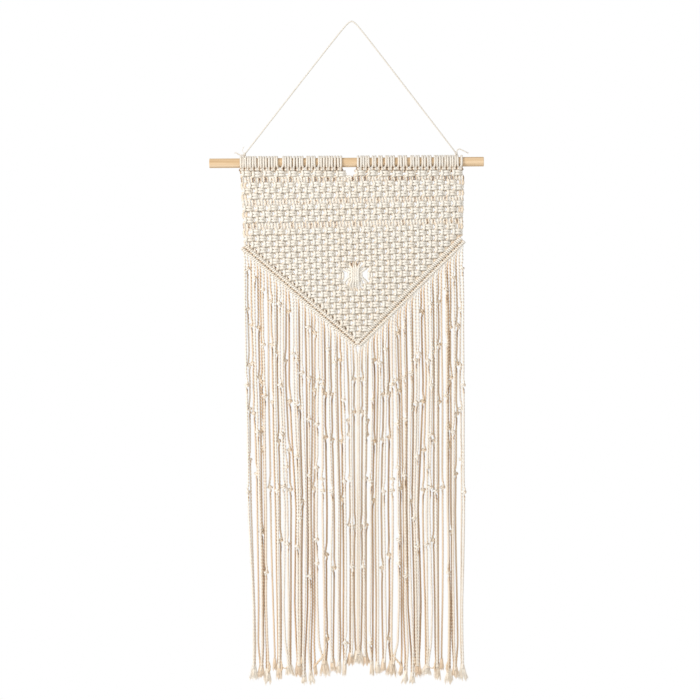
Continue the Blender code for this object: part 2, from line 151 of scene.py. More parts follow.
def distances(samples):
    """How far along its curve each sample is."""
    lengths = np.linalg.norm(np.diff(samples[:, :3], axis=0), axis=1)
    return np.concatenate([[0.0], np.cumsum(lengths)])


def resample(samples, step):
    """The same curve at even distances of about step, with both ends kept."""
    along = distances(samples)
    count = max(2, int(math.ceil(along[-1] / step)) + 1)
    wanted = np.linspace(0, along[-1], count)
    return np.stack([np.interp(wanted, along, samples[:, i]) for i in range(samples.shape[1])], axis=1)


def stretches(route, steps):
    """Pairs of a part's name and its samples, in order. Neighbours share their end sample."""
    blocks = curve_through(np.array(route.points), 6)
    parts = route.parts[1:]
    found = []
    start = 0
    for i in range(1, len(parts) + 1):
        if i == len(parts) or parts[i] != parts[start]:
            run = np.vstack([blocks[start, :1], blocks[start:i, 1:].reshape(-1, blocks.shape[2])])
            found.append((parts[start], resample(run, steps[parts[start]])))
            start = i
    return found


def frames_along(centres):
    """Tangent and normal at each sample. The normal is carried along without turning."""
    tangents = np.gradient(centres, axis=0)
    tangents /= np.maximum(np.linalg.norm(tangents, axis=1, keepdims=True), 1e-9)
    normals = []
    nx, ny, nz = 0.0, 1.0, 0.0
    for tx, ty, tz in tangents.tolist():
        dot = nx * tx + ny * ty + nz * tz
        nx, ny, nz = nx - dot * tx, ny - dot * ty, nz - dot * tz
        size = math.sqrt(nx * nx + ny * ny + nz * nz)
        if size < 1e-6:
            nx, ny, nz, size = tz, tx, ty, math.sqrt(tx * tx + ty * ty + tz * tz)
        nx, ny, nz = nx / size, ny / size, nz / size
        normals.append((nx, ny, nz))
    return tangents, np.array(normals)


class Tubes:
    """Gathers tubes and makes one mesh of them, with a tone for each point and two UV maps."""

    def __init__(self, name, sides=6, plies=3, pitch=PLY_PITCH, ply_depth=0.0):
        self.name = name
        self.sides = sides
        self.plies = plies
        self.pitch = pitch
        self.ply_depth = ply_depth
        self.tubes = []

    def add(self, samples, tangents=None, normals=None, twist_from=0.0, caps=(False, False)):
        """Adds a tube through samples of x, y, z, radius, tone and maybe shade."""
        centres = samples[:, :3]
        if tangents is None:
            tangents, normals = frames_along(centres)
        along = twist_from + distances(samples)
        binormals = np.cross(tangents, normals)
        ring = np.arange(self.sides) * math.tau / self.sides
        turn = ring[None, :] + (along / self.pitch * math.tau if self.plies else along * 0)[:, None]
        groove = (0.5 - 0.5 * np.cos(self.plies * ring))[None, :]
        lobes = 1 - self.ply_depth * groove[:, :, None]
        reach = samples[:, 3, None, None] * lobes
        outward = np.cos(turn)[:, :, None] * normals[:, None, :]
        outward = outward + np.sin(turn)[:, :, None] * binormals[:, None, :]
        tones = np.repeat(samples[:, 4, None], self.sides, axis=1)
        # Painted shade: the shaded side gets browner, in its grooves, and all over past GROOVE_SHADE
        if samples.shape[1] > 5:
            shade = samples[:, 5][:, None]
            sideways = np.clip((outward[:, :, 0] * np.sign(shade) - SHADE_FROM) / SHADE_BLEND, 0, 1)
            hollow = np.minimum(groove + np.maximum(np.abs(shade) - GROOVE_SHADE, 0), 1)
            tones = tones + np.abs(shade) * sideways * hollow
        self.tubes.append((centres[:, None, :] + reach * outward, tones.ravel(), along, caps))

    def add_whole(self, radius, tone, points, step):
        """A tube of its own, closed at both ends, through points of x, y, z and maybe a radius."""
        route = Route(radius, tone)
        for point in points:
            route.to("whole", *point)
        for _, samples in stretches(route, {"whole": step}):
            self.add(samples, caps=(True, True))

    def build(self, material):
        """The object, with all the tubes as one mesh."""
        n = self.sides
        quads, caps, maps = [], [], []
        base = 0
        for rings, _, along, (cap_start, cap_end) in self.tubes:
            side, row = np.meshgrid(np.arange(n), np.arange(len(rings) - 1))
            corners = [base + (row + up) * n + (side + on) % n for on, up in CORNERS]
            quads.append(np.stack(corners, axis=2).reshape(-1, 4))
            corners = [np.stack([(side + on) / n, along[row + up]], axis=2) for on, up in CORNERS]
            maps.append(np.stack(corners, axis=2).reshape(-1, 4, 2))
            last = base + (len(rings) - 1) * n
            half = n // 2
            if cap_start:
                caps.append([base + half, base + 2, base + 1, base])
                caps.append([base, base + n - 1, base + n - 2, base + half])
            if cap_end:
                caps.append([last, last + 1, last + 2, last + half])
                caps.append([last + half, last + n - 2, last + n - 1, last])
            base += len(rings) * n
        verts = np.vstack([rings.reshape(-1, 3) for rings, _, _, _ in self.tubes]) * MM
        quads = np.vstack(quads)
        faces = np.vstack([quads, np.array(caps)]) if caps else quads
        mesh = bpy.data.meshes.new(self.name)
        mesh.vertices.add(len(verts))
        mesh.vertices.foreach_set("co", verts.astype(np.float32).ravel())
        mesh.loops.add(faces.size)
        mesh.loops.foreach_set("vertex_index", faces.astype(np.int32).ravel())
        mesh.polygons.add(len(faces))
        mesh.polygons.foreach_set("loop_start", np.arange(0, faces.size, 4, dtype=np.int32))
        mesh.polygons.foreach_set("use_smooth", np.ones(len(faces), dtype=bool))
        mesh.update(calc_edges=True)
        # The tone holds the cord's own colour and the painted shade
        tones = np.concatenate([tones for _, tones, _, _ in self.tubes])
        tone = mesh.attributes.new("tone", "FLOAT", "POINT")
        tone.data.foreach_set("value", tones.astype(np.float32))
        strand = np.zeros((len(faces), 4, 2))
        strand[: len(quads)] = np.vstack(maps) / (1.0, UV_LENGTH)
        for name, uv in (("strand", strand), ("OFBake", self.bake_map(len(faces), len(quads)))):
            mesh.uv_layers.new(name=name).data.foreach_set("uv", uv.astype(np.float32).ravel())
        mesh.materials.append(material)
        thing = bpy.data.objects.new(self.name, mesh)
        bpy.context.scene.collection.objects.link(thing)
        return thing

    def bake_map(self, faces, ring_faces):
        """A map of the tubes laid flat in columns one tube wide, filled from the bottom up."""
        n = self.sides
        rows = -(-ring_faces // n)
        columns = max(1, math.ceil(math.sqrt(rows / n)))
        height = -(-rows // columns) + 1
        index = np.arange(ring_faces)
        row, side = index // n, index % n
        column, up = row // height, row % height
        cell = 1 / (columns * (n + 1))
        tall = 1 / (height + 2)
        x, y = (column * (n + 1) + side) * cell, up * tall
        uv = np.zeros((faces, 4, 2))
        for corner, (on, up) in enumerate(CORNERS):
            uv[:ring_faces, corner] = np.stack([x + on * cell, y + up * tall], axis=1)
        spare = faces - ring_faces
        for corner, (on, up) in enumerate(CORNERS if spare else ()):
            uv[ring_faces:, corner, 0] = np.arange(spare) / spare + on * 0.9 / spare
            uv[ring_faces:, corner, 1] = 1.0 if up else 1 - 0.9 * tall
        return uv


# ---------------------------------------------------------------- materials

CREAM = (0.885, 0.853, 0.785)
TAN = (0.86, 0.73, 0.57)
BROWN = (0.6, 0.44, 0.3)
DARK = (0.27, 0.17, 0.1)
# The tone that is DARK. Tones above 1 come only from painted shade. Tones of 0, 0.5 and 1 are the
# material's cream, tan and brown.
DARKEST_TONE = 1.5
# How far apart the mottling's lightest and darkest tones are
MOTTLE = 0.36
# Colour ramps, as places and colours: along the fibres, from groove to crown, and from side to
# front. The last two are painted shade, in the grooves between the plies and on a strand's sides.
STREAKS = ((0.3, (0.9, 0.88, 0.84)), (0.62, (1.0, 1.0, 1.0)))
GROOVES = ((0.0, (0.42, 0.3, 0.2)), (0.45, (0.93, 0.89, 0.84)), (0.7, (1.0, 1.0, 1.0)))
SIDE_SHADE_RAMP = ((0.0, (0.8, 0.66, 0.52)), (0.5, (0.98, 0.96, 0.93)), (0.8, (1.0, 1.0, 1.0)))
PINE = (
    (0.3, (0.38, 0.23, 0.11)),
    (0.45, (0.58, 0.4, 0.22)),
    (0.58, (0.7, 0.52, 0.33)),
    (0.74, (0.81, 0.65, 0.46)),
)


class Nodes:
    """Adds nodes to a node tree. Each method but feed returns an output of its new node."""

    def __init__(self, tree):
        self.tree = tree

    def feed(self, node, inputs):
        """Sets a node's inputs, each to a value or from another node's output."""
        for socket, value in inputs.items():
            if isinstance(value, bpy.types.NodeSocket):
                self.tree.links.new(value, node.inputs[socket])
            else:
                node.inputs[socket].default_value = value

    def node(self, kind, output, inputs=None, **settings):
        node = self.tree.nodes.new(f"ShaderNode{kind}")
        for name, value in settings.items():
            setattr(node, name, value)
        self.feed(node, inputs or {})
        return node.outputs[output]

    def maths(self, operation, *values):
        return self.node("Math", 0, dict(enumerate(values)), operation=operation)

    def noise(self, places, scale, detail=2.0, roughness=0.5):
        inputs = {"Vector": places, "Scale": scale, "Detail": detail, "Roughness": roughness}
        return self.node("TexNoise", "Fac", inputs)

    def scaled(self, places, scale):
        return self.node("Mapping", "Vector", {"Vector": places, "Scale": scale})

    def tinted(self, share, colour, tint):
        """The colour multiplied by the tint, as far as share says."""
        inputs = {"Factor": share, "A": colour, "B": tint}
        return self.node("Mix", "Result", inputs, data_type="RGBA", blend_type="MULTIPLY")

    def ramp(self, share, stops):
        ramp = self.tree.nodes.new("ShaderNodeValToRGB")
        elements = ramp.color_ramp.elements
        while len(elements) < len(stops):
            elements.new(0.5)
        for element, (position, colour) in zip(elements, stops):
            element.position = position
            element.color = (*colour, 1.0)
        self.feed(ramp, {"Fac": share})
        return ramp.outputs["Color"]

    def rough(self, share, low, high):
        return self.node("MapRange", "Result", {"Value": share, "To Min": low, "To Max": high})

    def bump(self, height, strength, distance):
        inputs = {"Height": height, "Strength": strength, "Distance": distance}
        return self.node("Bump", "Normal", inputs)


def new_material(name):
    material = bpy.data.materials.new(name)
    material.use_nodes = True
    return material, Nodes(material.node_tree), material.node_tree.nodes["Principled BSDF"]


def cotton_material(name, cream, tan, brown, sheen, plies=3, groove_share=0.2, side_shade_share=0.25):
    """Twisted cotton: its colour follows the tone, with mottling, fibres along the strand and painted
    shade.
    """
    material, make, shader = new_material(name)
    tone = make.node("Attribute", "Fac", attribute_name="tone")
    strand = make.node("UVMap", "UV", uv_map="strand")
    mottle = make.noise(make.node("TexCoord", "Object"), 160.0)
    fibres = make.noise(make.scaled(strand, (14.0, 3.0, 1.0)), 2.0, 3.0)
    mottled = make.maths("SUBTRACT", make.maths("MULTIPLY_ADD", mottle, MOTTLE, tone), MOTTLE / 2)
    tones = ((0.0, cream), (0.5, tan), (1.0, brown), (DARKEST_TONE, DARK))
    stops = [(level / DARKEST_TONE, colour) for level, colour in tones]
    colour = make.ramp(make.maths("MULTIPLY", mottled, 1 / DARKEST_TONE), stops)
    colour = make.tinted(0.7, colour, make.ramp(fibres, STREAKS))
    # The map's first coordinate goes once round the strand, with a ply's crown at 0.
    # The grooves between the plies get painted shade.
    around = make.node("SeparateXYZ", "X", {"Vector": strand})
    crown = make.maths("COSINE", make.maths("MULTIPLY", around, plies * math.tau))
    crown_share = make.node("MapRange", "Result", {"Value": crown, "From Min": -1.0})
    colour = make.tinted(groove_share, colour, make.ramp(crown_share, GROOVES))
    # Painted shade: a strand's sides are browner than its front and back
    facing = make.node("SeparateXYZ", "Y", {"Vector": make.node("TexCoord", "Normal")})
    colour = make.tinted(side_shade_share, colour, make.ramp(make.maths("ABSOLUTE", facing), SIDE_SHADE_RAMP))
    inputs = {
        "Base Color": colour,
        "Roughness": make.rough(fibres, 0.8, 0.98),
        "Normal": make.bump(fibres, 0.35, 0.0004),
        "Specular IOR Level": 0.15,
        "Sheen Weight": sheen,
        "Sheen Roughness": 0.6,
    }
    make.feed(shader, inputs)
    return material


def pine_material():
    """Bare sanded pine: fine grain along the dowel, with darker late-wood lines."""
    material, make, shader = new_material("pine_dowel")
    places = make.node("TexCoord", "Object")
    grain = make.noise(make.scaled(places, (6.0, 260.0, 260.0)), 1.0, 4.0, 0.6)
    bands = make.noise(make.scaled(places, (1.6, 70.0, 70.0)), 1.0)
    fine = make.noise(make.scaled(places, (60.0, 1400.0, 1400.0)), 1.0)
    wood = make.node("Mix", "Result", {"Factor": 0.45, "A": grain, "B": bands})
    inputs = {
        "Base Color": make.ramp(wood, PINE),
        "Roughness": make.rough(grain, 0.5, 0.75),
        "Normal": make.bump(fine, 0.3, 0.0002),
        "Specular IOR Level": 0.3,
    }
    make.feed(shader, inputs)
    return material


# ---------------------------------------------------------------- the heading

# The lark's heads along the dowel in pixels: the middle of each, and the gap between its legs
HEADS = (
    (242.2, 0.0), (246.9, 0.2), (251.6, 0.2), (257.2, 1.2), (262.3, 0.2), (267.7, 0.7),
    (273.2, 0.3), (279.7, 5.6), (286.9, 0.4), (292.5, 1.0), (298.6, 0.5), (304.7, 2.4),
    (310.7, 0.5), (316.5, 2.8), (322.6, 0.4), (328.1, 0.4), (333.5, 0.8), (339.5, 0.3),
    (359.6, 0.8), (364.9, 0.3), (370.6, 2.4), (377.1, 2.6), (383.6, 2.6), (389.9, 0.5),
    (396.4, 3.6), (402.4, 0.5), (408.7, 4.0), (414.9, 0.5), (420.6, 1.9), (426.4, 0.8),
    (432.7, 2.4), (438.5, 0.3), (443.9, 0.7), (449.1, 0.3), (453.8, 0.7), (459.5, 1.6),
)  # fmt: skip
# A leg's width in pixels
LEG_WIDTH = 2.4
# Half a bar's own width in millimetres, and how far the legs' distance changes it
BAR_LEG = 2.0
BAR_GIVES = 0.35
# Below this height and behind this depth a head is as wide as its bar
BAR_BELOW, BAR_BEHIND = -9, 9
# How far in pixels two legs may overlap before the wider head gives way
LEG_OVERLAP = 0.2
# How much painted shade darkens the gaps between the lark's heads at their feet
HEAD_FOOT_SHADE = 2.4

# One leg of a lark's head as (x in legs, y, z) from the middle of its bar, round the dowel and down
HEAD_ROUTE = (
    (0.0, -10.6, -11.2),
    (1.35, -9.6, -11.4),
    (1.9, -5.0, -11.6),
    (1.5, 2.0, -10.4),
    (1.25, 7.2, -6.0),
    (1.1, 9.35, 0.0),
    (1.05, 6.6, 6.6),
    (1.0, 0.0, 9.35),
    (1.0, -6.6, 6.6),
    (1.0, -9.35, 0.0),
    (0.98, -8.9, -4.2),
    (0.95, -7.0, -9.6),
    (0.95, WORK_Y, -15.5),
)


def head_leg(head, side):
    """How far in pixels a lark's head's leg is from its middle.

    The wider head of two that meet gives way to the other, and like heads share the way.
    """
    middle, gap = HEADS[head]
    reach = (gap + LEG_WIDTH) / 2
    other = head + side
    if 0 <= other < len(HEADS):
        apart = abs(HEADS[other][0] - middle)
        other_reach = (HEADS[other][1] + LEG_WIDTH) / 2
        spare = apart - reach - other_reach - LEG_WIDTH + LEG_OVERLAP
        if spare < 0 and reach >= other_reach:
            reach += spare if reach > other_reach else spare / 2
    return reach


def route_head(route, cord, jitter):
    """Takes a cord from the middle of its lark's head's bar, round the dowel and into the panel."""
    head = cord // 2
    side = -1 if cord % 2 == 0 else 1
    middle = place(HEADS[head][0], 0)[0]
    leg = head_leg(head, side) * MM_PER_PIXEL + jitter.uniform(-0.12, 0.12)
    lean = jitter.uniform(-0.2, 0.2)
    lift = jitter.uniform(-0.4, 0.4)
    for x, y, z in HEAD_ROUTE:
        # The legs come together behind and under the dowel
        low = z < BAR_BELOW
        width = leg if not low and y < BAR_BEHIND else mix(BAR_LEG, leg, BAR_GIVES)
        route.to(
            "heading",
            middle + side * (x * width) + lean * z / 9,
            y,
            rod_z(middle) + z + (lift if low else 0),
            radius=HEAD_RADIUS if z > -12 else None,
            shade=side * HEAD_FOOT_SHADE if y < 0 and low else 0.0,
        )


# ---------------------------------------------------------------- the panel of square knots

# Heights of the knot rows in pixels at the left, in the middle and at the right
ROWS_X = (250, 350, 450)
ROWS_Y = (
    (174.0, 173.6, 173.2), (185.7, 184.0, 182.4), (190.9, 189.2, 187.4), (196.5, 194.8, 193.0),
    (208.6, 206.0, 203.4), (214.6, 212.0, 209.4), (220.2, 217.7, 215.2), (232.6, 229.8, 226.3),
    (239.0, 235.9, 231.8), (244.9, 241.2, 237.4), (250.8, 247.1, 243.2), (256.8, 252.9, 249.0),
    (262.4, 258.8, 254.8), (268.3, 264.4, 260.9), (274.0, 270.0, 266.8), (279.7, 275.6, 272.6),
    (285.3, 281.5, 278.7), (291.2, 287.5, 284.7), (297.1, 293.4, 290.4), (302.9, 299.4, 296.3),
    (308.7, 305.3, 302.4), (314.3, 311.2, 308.4), (320.0, 317.2, 314.6), (325.5, 323.0, 321.0),
    (331.0, 329.0, 327.4), (336.6, 334.6, 333.0),
)  # fmt: skip

# The V border's middle line in pixels
V_LEFT = (243.0, 246.5)
V_TIP = (357.7, 345.0)
V_RIGHT = (463.0, 240.0)
# From the middle line to the middle of each bar, in millimetres
BAR_OFFSET = 3.25
# From the middle line to the border's upper edge, left and right of the tip, in pixels
TOP_LEFT, TOP_RIGHT = 5.3, 5.65
# The panel's edges in pixels, above and below the height where its second row starts
EDGES_ABOVE = (241.2, 462.6)
EDGES_BELOW = (240.7, 464.2)
SECOND_ROW = 176
# The cords drift towards the V from this height, and are there this far above it
DRIFT_FROM = 180
DRIFT_END = 14
# The room in pixels that a knot needs between its middle and the border, and a loose cord
KNOT_ROOM = 4.6
LOOSE_ROOM = 4

# The upper halves of a square knot's working cords, as (x, y, z) from its middle
LEFT_WORKER = (
    (-7.6, 1.6, 3.4), (-4.6, -0.4, 2.6), (-1.4, -3.0, 2.1), (1.0, -3.6, 2.05), (3.2, -3.2, 2.05),
    (6.1, -1.5, 1.9), (7.3, -0.4, 0.0),
)  # fmt: skip
RIGHT_WORKER = (
    (7.6, 1.4, 4.2), (6.0, 0.8, 3.4), (3.6, 2.8, 2.4), (0.0, 3.6, 2.1), (-4.4, 2.8, 2.8),
    (-6.9, 0.8, 3.6), (-6.0, -2.4, 3.9), (-5.1, -3.9, 2.2), (-4.9, -4.3, 0.0),
)  # fmt: skip
BAR_RADIUS = 2.6
# Painted shade on the stretches of cord that lie deep in a knot, behind its bars
RECESS_SHADE_TONE = 0.3
# Painted shade in the hollows beside the holes; below 0, since it is the cord's left side that is
# browner
HOLLOW_SHADE = -0.6
FILLER_X = 2.0
# How far above and below the knot's middle its fillers' places are, next to a row and to a gap
FILLER_TOP = 5.0
OPEN_FILLER_TOP = 3.6
FILLER_DEPTH = 0.8
# Between rows that stand apart, cords hang in pairs with a slit between one pair and the next
PAIR_X = 2.5
PAIR_Z = 3.1
PAIR_SLANT = 0.15
PAIR_RADIUS = 2.4
# How much painted shade darkens the slits, for each row that stands apart, and what share of them is
# nearly shut
PAIR_SHADE = {1: 2.5, 4: 1.5, 7: 1.7}
SLITS_SHUT = 0.35
SHUT_SHADE = 0.4
# A row is long when it hangs more than this far below the one above it, in pixels
LONG_LEG = 9.0
# The painted shade on the loose cords at the edges, where they pass a row behind
LOOSE_SHADE_TONE = 0.45

# The gathered knot: eight cords drawn together
GATHER_PIXEL = (355.1, 274.5)
GATHER_FORWARD = -2.0
GATHERED = range(32, 40)
GATHER_ROW = 15
# The upper halves of its working cords, as (x, y, z) from its middle
GATHER_WORKERS = {
    32: ((-11.0, 0.4, 5.0), (-7.0, -0.8, 2.9), (0.0, -0.8, 2.1), (3.8, -0.8, 1.8), (5.6, -0.8, 0.8)),
    33: ((-8.6, -0.2, 8.0), (-5.8, -0.8, 6.6), (0.0, -0.8, 6.0), (6.2, -0.8, 5.2), (9.4, -0.8, 2.6)),
    38: (
        (8.6, -0.4, 8.0), (7.4, -0.8, 6.4), (5.0, 1.8, 5.2), (0.0, 3.6, 4.6), (-5.6, 2.4, 4.4),
        (-8.8, -0.8, 3.4), (-10.2, -0.8, 0.0),
    ),
    39: (
        (11.0, -0.2, 5.0), (8.2, -0.8, 3.2), (4.2, 1.6, 2.0), (0.0, 3.2, 1.9), (-3.9, 2.2, 1.9),
        (-5.7, -0.8, 1.5), (-6.2, -0.8, 0.0),
    ),
}  # fmt: skip
# The ways of its four fillers: (height from its middle, distance apart)
GATHER_FILLERS = ((8.5, 3.3), (3.0, 3.1), (-3.0, 3.1), (-8.5, 3.3))
GATHER_RADIUS = 2.35
# Where the cords above and below it fan out, in pixels
FAN_UP = {
    32: (343.9, 269.2), 34: (350.0, 264.8), 35: (352.75, 264.8), 36: (355.9, 264.8),
    37: (358.7, 264.8), 39: (366.4, 267.6),
}  # fmt: skip
FAN_DOWN = {
    32: (344.6, 282.4), 34: (349.9, 285.6), 35: (352.9, 285.6), 36: (355.8, 285.6),
    37: (358.8, 285.6), 38: (362.6, 285.6), 39: (366.4, 282.2),
}  # fmt: skip
# Painted shade on the sides of the fan's middle cords that face the slits between them
FAN_SHADE = {34: 3.0, 35: -3.0, 36: 3.0, 37: -3.0}
SHADED_FAN_RADIUS = 2.7
# The cords that pass the gathered knot on its two sides, and the knots that it takes the place of
BESIDE_GATHER = {30: 340.1, 31: 342.9, 40: 369.0, 41: 371.8}
NO_KNOT = {(13, 34), (14, 32), (14, 36), (15, 30), (15, 34), (15, 38), (16, 32), (16, 36), (17, 34)}


def mirrored(half):
    """A way from its upper half, down to the middle and on."""
    return half + tuple((x, y, -z) for x, y, z in reversed(half) if z)


def lattice_x(u, y):
    """Where the boundary u cords from the left is at height y, in pixels.

    It drifts towards its place in the V on the way down.
    """
    even = mix(*(EDGES_ABOVE if y < SECOND_ROW else EDGES_BELOW), u / CORDS)
    if u < HALF:
        arrival = mix(V_LEFT[0], V_TIP[0], u / HALF)
    else:
        arrival = mix(V_TIP[0], V_RIGHT[0], (u - HALF) / HALF)
    fall = border_y(arrival) - DRIFT_END - DRIFT_FROM
    return mix(even, arrival, min(max((y - DRIFT_FROM) / max(fall, 1), 0), 1))


def border_y(x):
    """The height in pixels of the V border's middle line."""
    if x < V_TIP[0]:
        return V_TIP[1] + (x - V_TIP[0]) * (V_TIP[1] - V_LEFT[1]) / (V_TIP[0] - V_LEFT[0])
    return V_TIP[1] + (x - V_TIP[0]) * (V_RIGHT[1] - V_TIP[1]) / (V_RIGHT[0] - V_TIP[0])


def border_top(x):
    """The height in pixels of the border's upper edge, which the knots stay clear of."""
    return border_y(x) - (TOP_LEFT if x < V_TIP[0] else TOP_RIGHT)


def row_y(row, x):
    """The height in pixels of a row of knots at x."""
    left, middle, right = ROWS_Y[row]
    share = (x - ROWS_X[1]) / (ROWS_X[1] - ROWS_X[0])
    return middle + share * (right - left) / 2 + share * share * (left + right - 2 * middle) / 2


def knot_place(row, first):
    """The middle in pixels of the knot whose first cord is first."""
    u = first + 2
    y = ROWS_Y[row][1]
    for _ in range(2):
        x = lattice_x(u, y)
        y = row_y(row, x)
    if row == 0:  # the first row sits between the lark's heads above and the lattice below
        x = mix(x, (HEADS[first // 2][0] + HEADS[first // 2 + 1][0]) / 2, 0.5)
    return x, y


def has_knot(row, first):
    """True where a row has a knot that starts with the cord called first."""
    if (row, first) in NO_KNOT:
        return False
    x, y = knot_place(row, first)
    return y + KNOT_ROOM < border_top(x)


def route_square_knot(route, part, role, x, y, z, open_ends, jitter):
    """One cord's way through a square knot. Roles 0 and 3 are the workers, 1 and 2 the fillers."""
    if role in (1, 2):
        side = -FILLER_X if role == 1 else FILLER_X
        # A filler's ends get painted shade, except where they open into a gap between rows
        for end, open_end in zip((1, -1), open_ends):
            reach, tone = (OPEN_FILLER_TOP, None) if open_end else (FILLER_TOP, RECESS_SHADE_TONE)
            route.to(part, x + side, y + FILLER_DEPTH, z + end * reach, tone=tone)
        return
    for dx, dy, dz in mirrored(LEFT_WORKER if role == 0 else RIGHT_WORKER):
        shift, lift = jitter.uniform(-0.2, 0.2), jitter.uniform(-0.2, 0.2)
        open_end = open_ends[0] if dz > 0 else open_ends[1]
        # A worker gets painted shade behind the fillers, and is thicker where its bar lies in front of
        # them
        tone = RECESS_SHADE_TONE if dy > 0.9 and not (open_end and abs(dx) > 5) else None
        radius = BAR_RADIUS if dy < -2.8 else None
        # Painted shade in the hollows left of the right worker, above and below the bar that it makes
        shade = HOLLOW_SHADE if dx < -4 and abs(dz) > 1 and role == 3 else 0.0
        route.to(part, x + dx + shift, y + dy, z + dz + lift, radius=radius, tone=tone, shade=shade)


def route_gathered(route, part, cord):
    """One cord's way through the gathered knot, a square knot with two cords as each worker."""
    x, z = place(*GATHER_PIXEL)
    y = WORK_Y + GATHER_FORWARD
    if cord in GATHER_WORKERS:
        for dx, dy, dz in mirrored(GATHER_WORKERS[cord]):
            route.to(part, x + dx, y + dy, z + dz)
    else:
        for end, spread in GATHER_FILLERS:
            away = (cord - HALF + 0.5) * spread
            route.to(part, x + away, y - 3.0, z + end, radius=GATHER_RADIUS)


def route_fan(route, part, cord, fan):
    """A cord's place where the cords fan out above or below the gathered knot, if it has one."""
    if cord in fan:
        x, z = place(*fan[cord])
        shade = FAN_SHADE.get(cord, 0.0) if fan is FAN_UP else 0.0
        radius = SHADED_FAN_RADIUS if shade else GATHER_RADIUS
        route.to(part, x, WORK_Y + (0.4 if cord in GATHER_WORKERS else -0.8), z, radius, shade=shade)


def long_gap(row):
    """True where a row of knots hangs well below the row above it."""
    return 0 < row < len(ROWS_Y) and ROWS_Y[row][1] - ROWS_Y[row - 1][1] > LONG_LEG


def route_panel(route, cord, jitter):
    """Takes a cord through the rows of knots that are above the V border."""
    part = "panel"
    for row in range(len(ROWS_Y)):
        start = 0 if row % 2 == 0 else 2
        first = start + (cord - start) // 4 * 4
        if row == GATHER_ROW and cord in GATHERED:
            route_fan(route, part, cord, FAN_UP)
            route_gathered(route, part, cord)
            route_fan(route, part, cord, FAN_DOWN)
            continue
        inside = 0 <= cord - start and first + 3 < CORDS
        if long_gap(row):
            x_pixel = lattice_x(cord // 2 * 2 + 1, ROWS_Y[row][1])
            x, z = place(x_pixel, (row_y(row, x_pixel) + row_y(row - 1, x_pixel)) / 2)
            side = -PAIR_X if cord % 2 == 0 else PAIR_X
            # Painted shade on the sides of a pair that face the slit beside it
            slit = random.Random(row * 50 + (cord + 1) // 2).random()
            open_share = mix(0.65, 1.0, slit) if slit > SLITS_SHUT else SHUT_SHADE
            shade = math.copysign(PAIR_SHADE[row] * open_share, side)
            for end in (PAIR_Z, -PAIR_Z):
                away = side + jitter.uniform(-0.2, 0.2) - PAIR_SLANT * end
                deep = WORK_Y + jitter.uniform(-0.6, 0.6)
                route.to(part, x + away, deep, z + end, PAIR_RADIUS, shade=shade)
        if inside and has_knot(row, first):
            x_pixel, y_pixel = knot_place(row, first)
            x, z = place(x_pixel, y_pixel)
            shake = random.Random(row * 100 + first)
            x += shake.uniform(-0.35, 0.35) * (3 if row == 0 else 1)
            z += shake.uniform(-0.3, 0.3) * (3 if row == 0 else 1)
            open_ends = (long_gap(row), long_gap(row + 1))
            route_square_knot(route, part, cord - first, x, WORK_Y, z, open_ends, jitter)
        elif not inside:  # a loose cord at the edge passes this row behind
            y_pixel = row_y(row, ROWS_X[0] if cord < HALF else ROWS_X[2])
            if y_pixel + LOOSE_ROOM > border_top(lattice_x(cord + 0.5, y_pixel)):
                break
            bulge = -1.2 if cord < HALF else 1.2
            x, z = place(lattice_x(cord + 0.5, y_pixel), y_pixel)
            # It gets painted shade where it passes behind the row
            for end in (4.0, 0.0, -4.0):
                out, deep = (bulge, 1.6) if end == 0 else (0, 0.6)
                route.to(part, x + out, WORK_Y + deep, z + end, tone=LOOSE_SHADE_TONE)
        elif (row, first) in NO_KNOT:
            if cord in BESIDE_GATHER:
                x, z = place(BESIDE_GATHER[cord], GATHER_PIXEL[1] + 1)
                for end in (4.5, 0.0, -4.5):
                    route.to(part, x, WORK_Y - 0.4, z + end, radius=GATHER_RADIUS)
        else:
            break


# ---------------------------------------------------------------- the V border

# A hitch goes this many times round its bar, with this many places a turn
WRAP_TURNS = 2.5
WRAP_STEPS = 8
# How far it advances each half turn and at most, and its reach across the bar and to its back
WRAP_ADVANCE = 1.65
ADVANCE_MOST = 2.2
WRAP_ACROSS = 1.4
WRAP_DEEP = 2.6
# How much further the right half's upper bar reaches than the left half's
WIDE_BAR = 1.5
# Where on a hitch the painted shade between the bars starts, and the painted shade of the wide bar's
# upper edge
INNER_FROM = 0.45
UPPER_FROM = 0.9


def border_side(left):
    """One side of the border's middle line: its start, end and direction, in millimetres."""
    (x0, z0), (x1, z1) = (place(*end) for end in ((V_LEFT, V_TIP) if left else (V_TIP, V_RIGHT)))
    size = math.hypot(x1 - x0, z1 - z0)
    return (x0, z0), (x1, z1), ((x1 - x0) / size, (z1 - z0) / size)


def border_frame(cord):
    """The middle of a cord's place in the border, the border's direction and its upward normal."""
    (x0, z0), (x1, z1), along = border_side(cord < HALF)
    share = (cord % HALF + 0.5) / HALF
    return (mix(x0, x1, share), mix(z0, z1, share)), along, (-along[1], along[0])


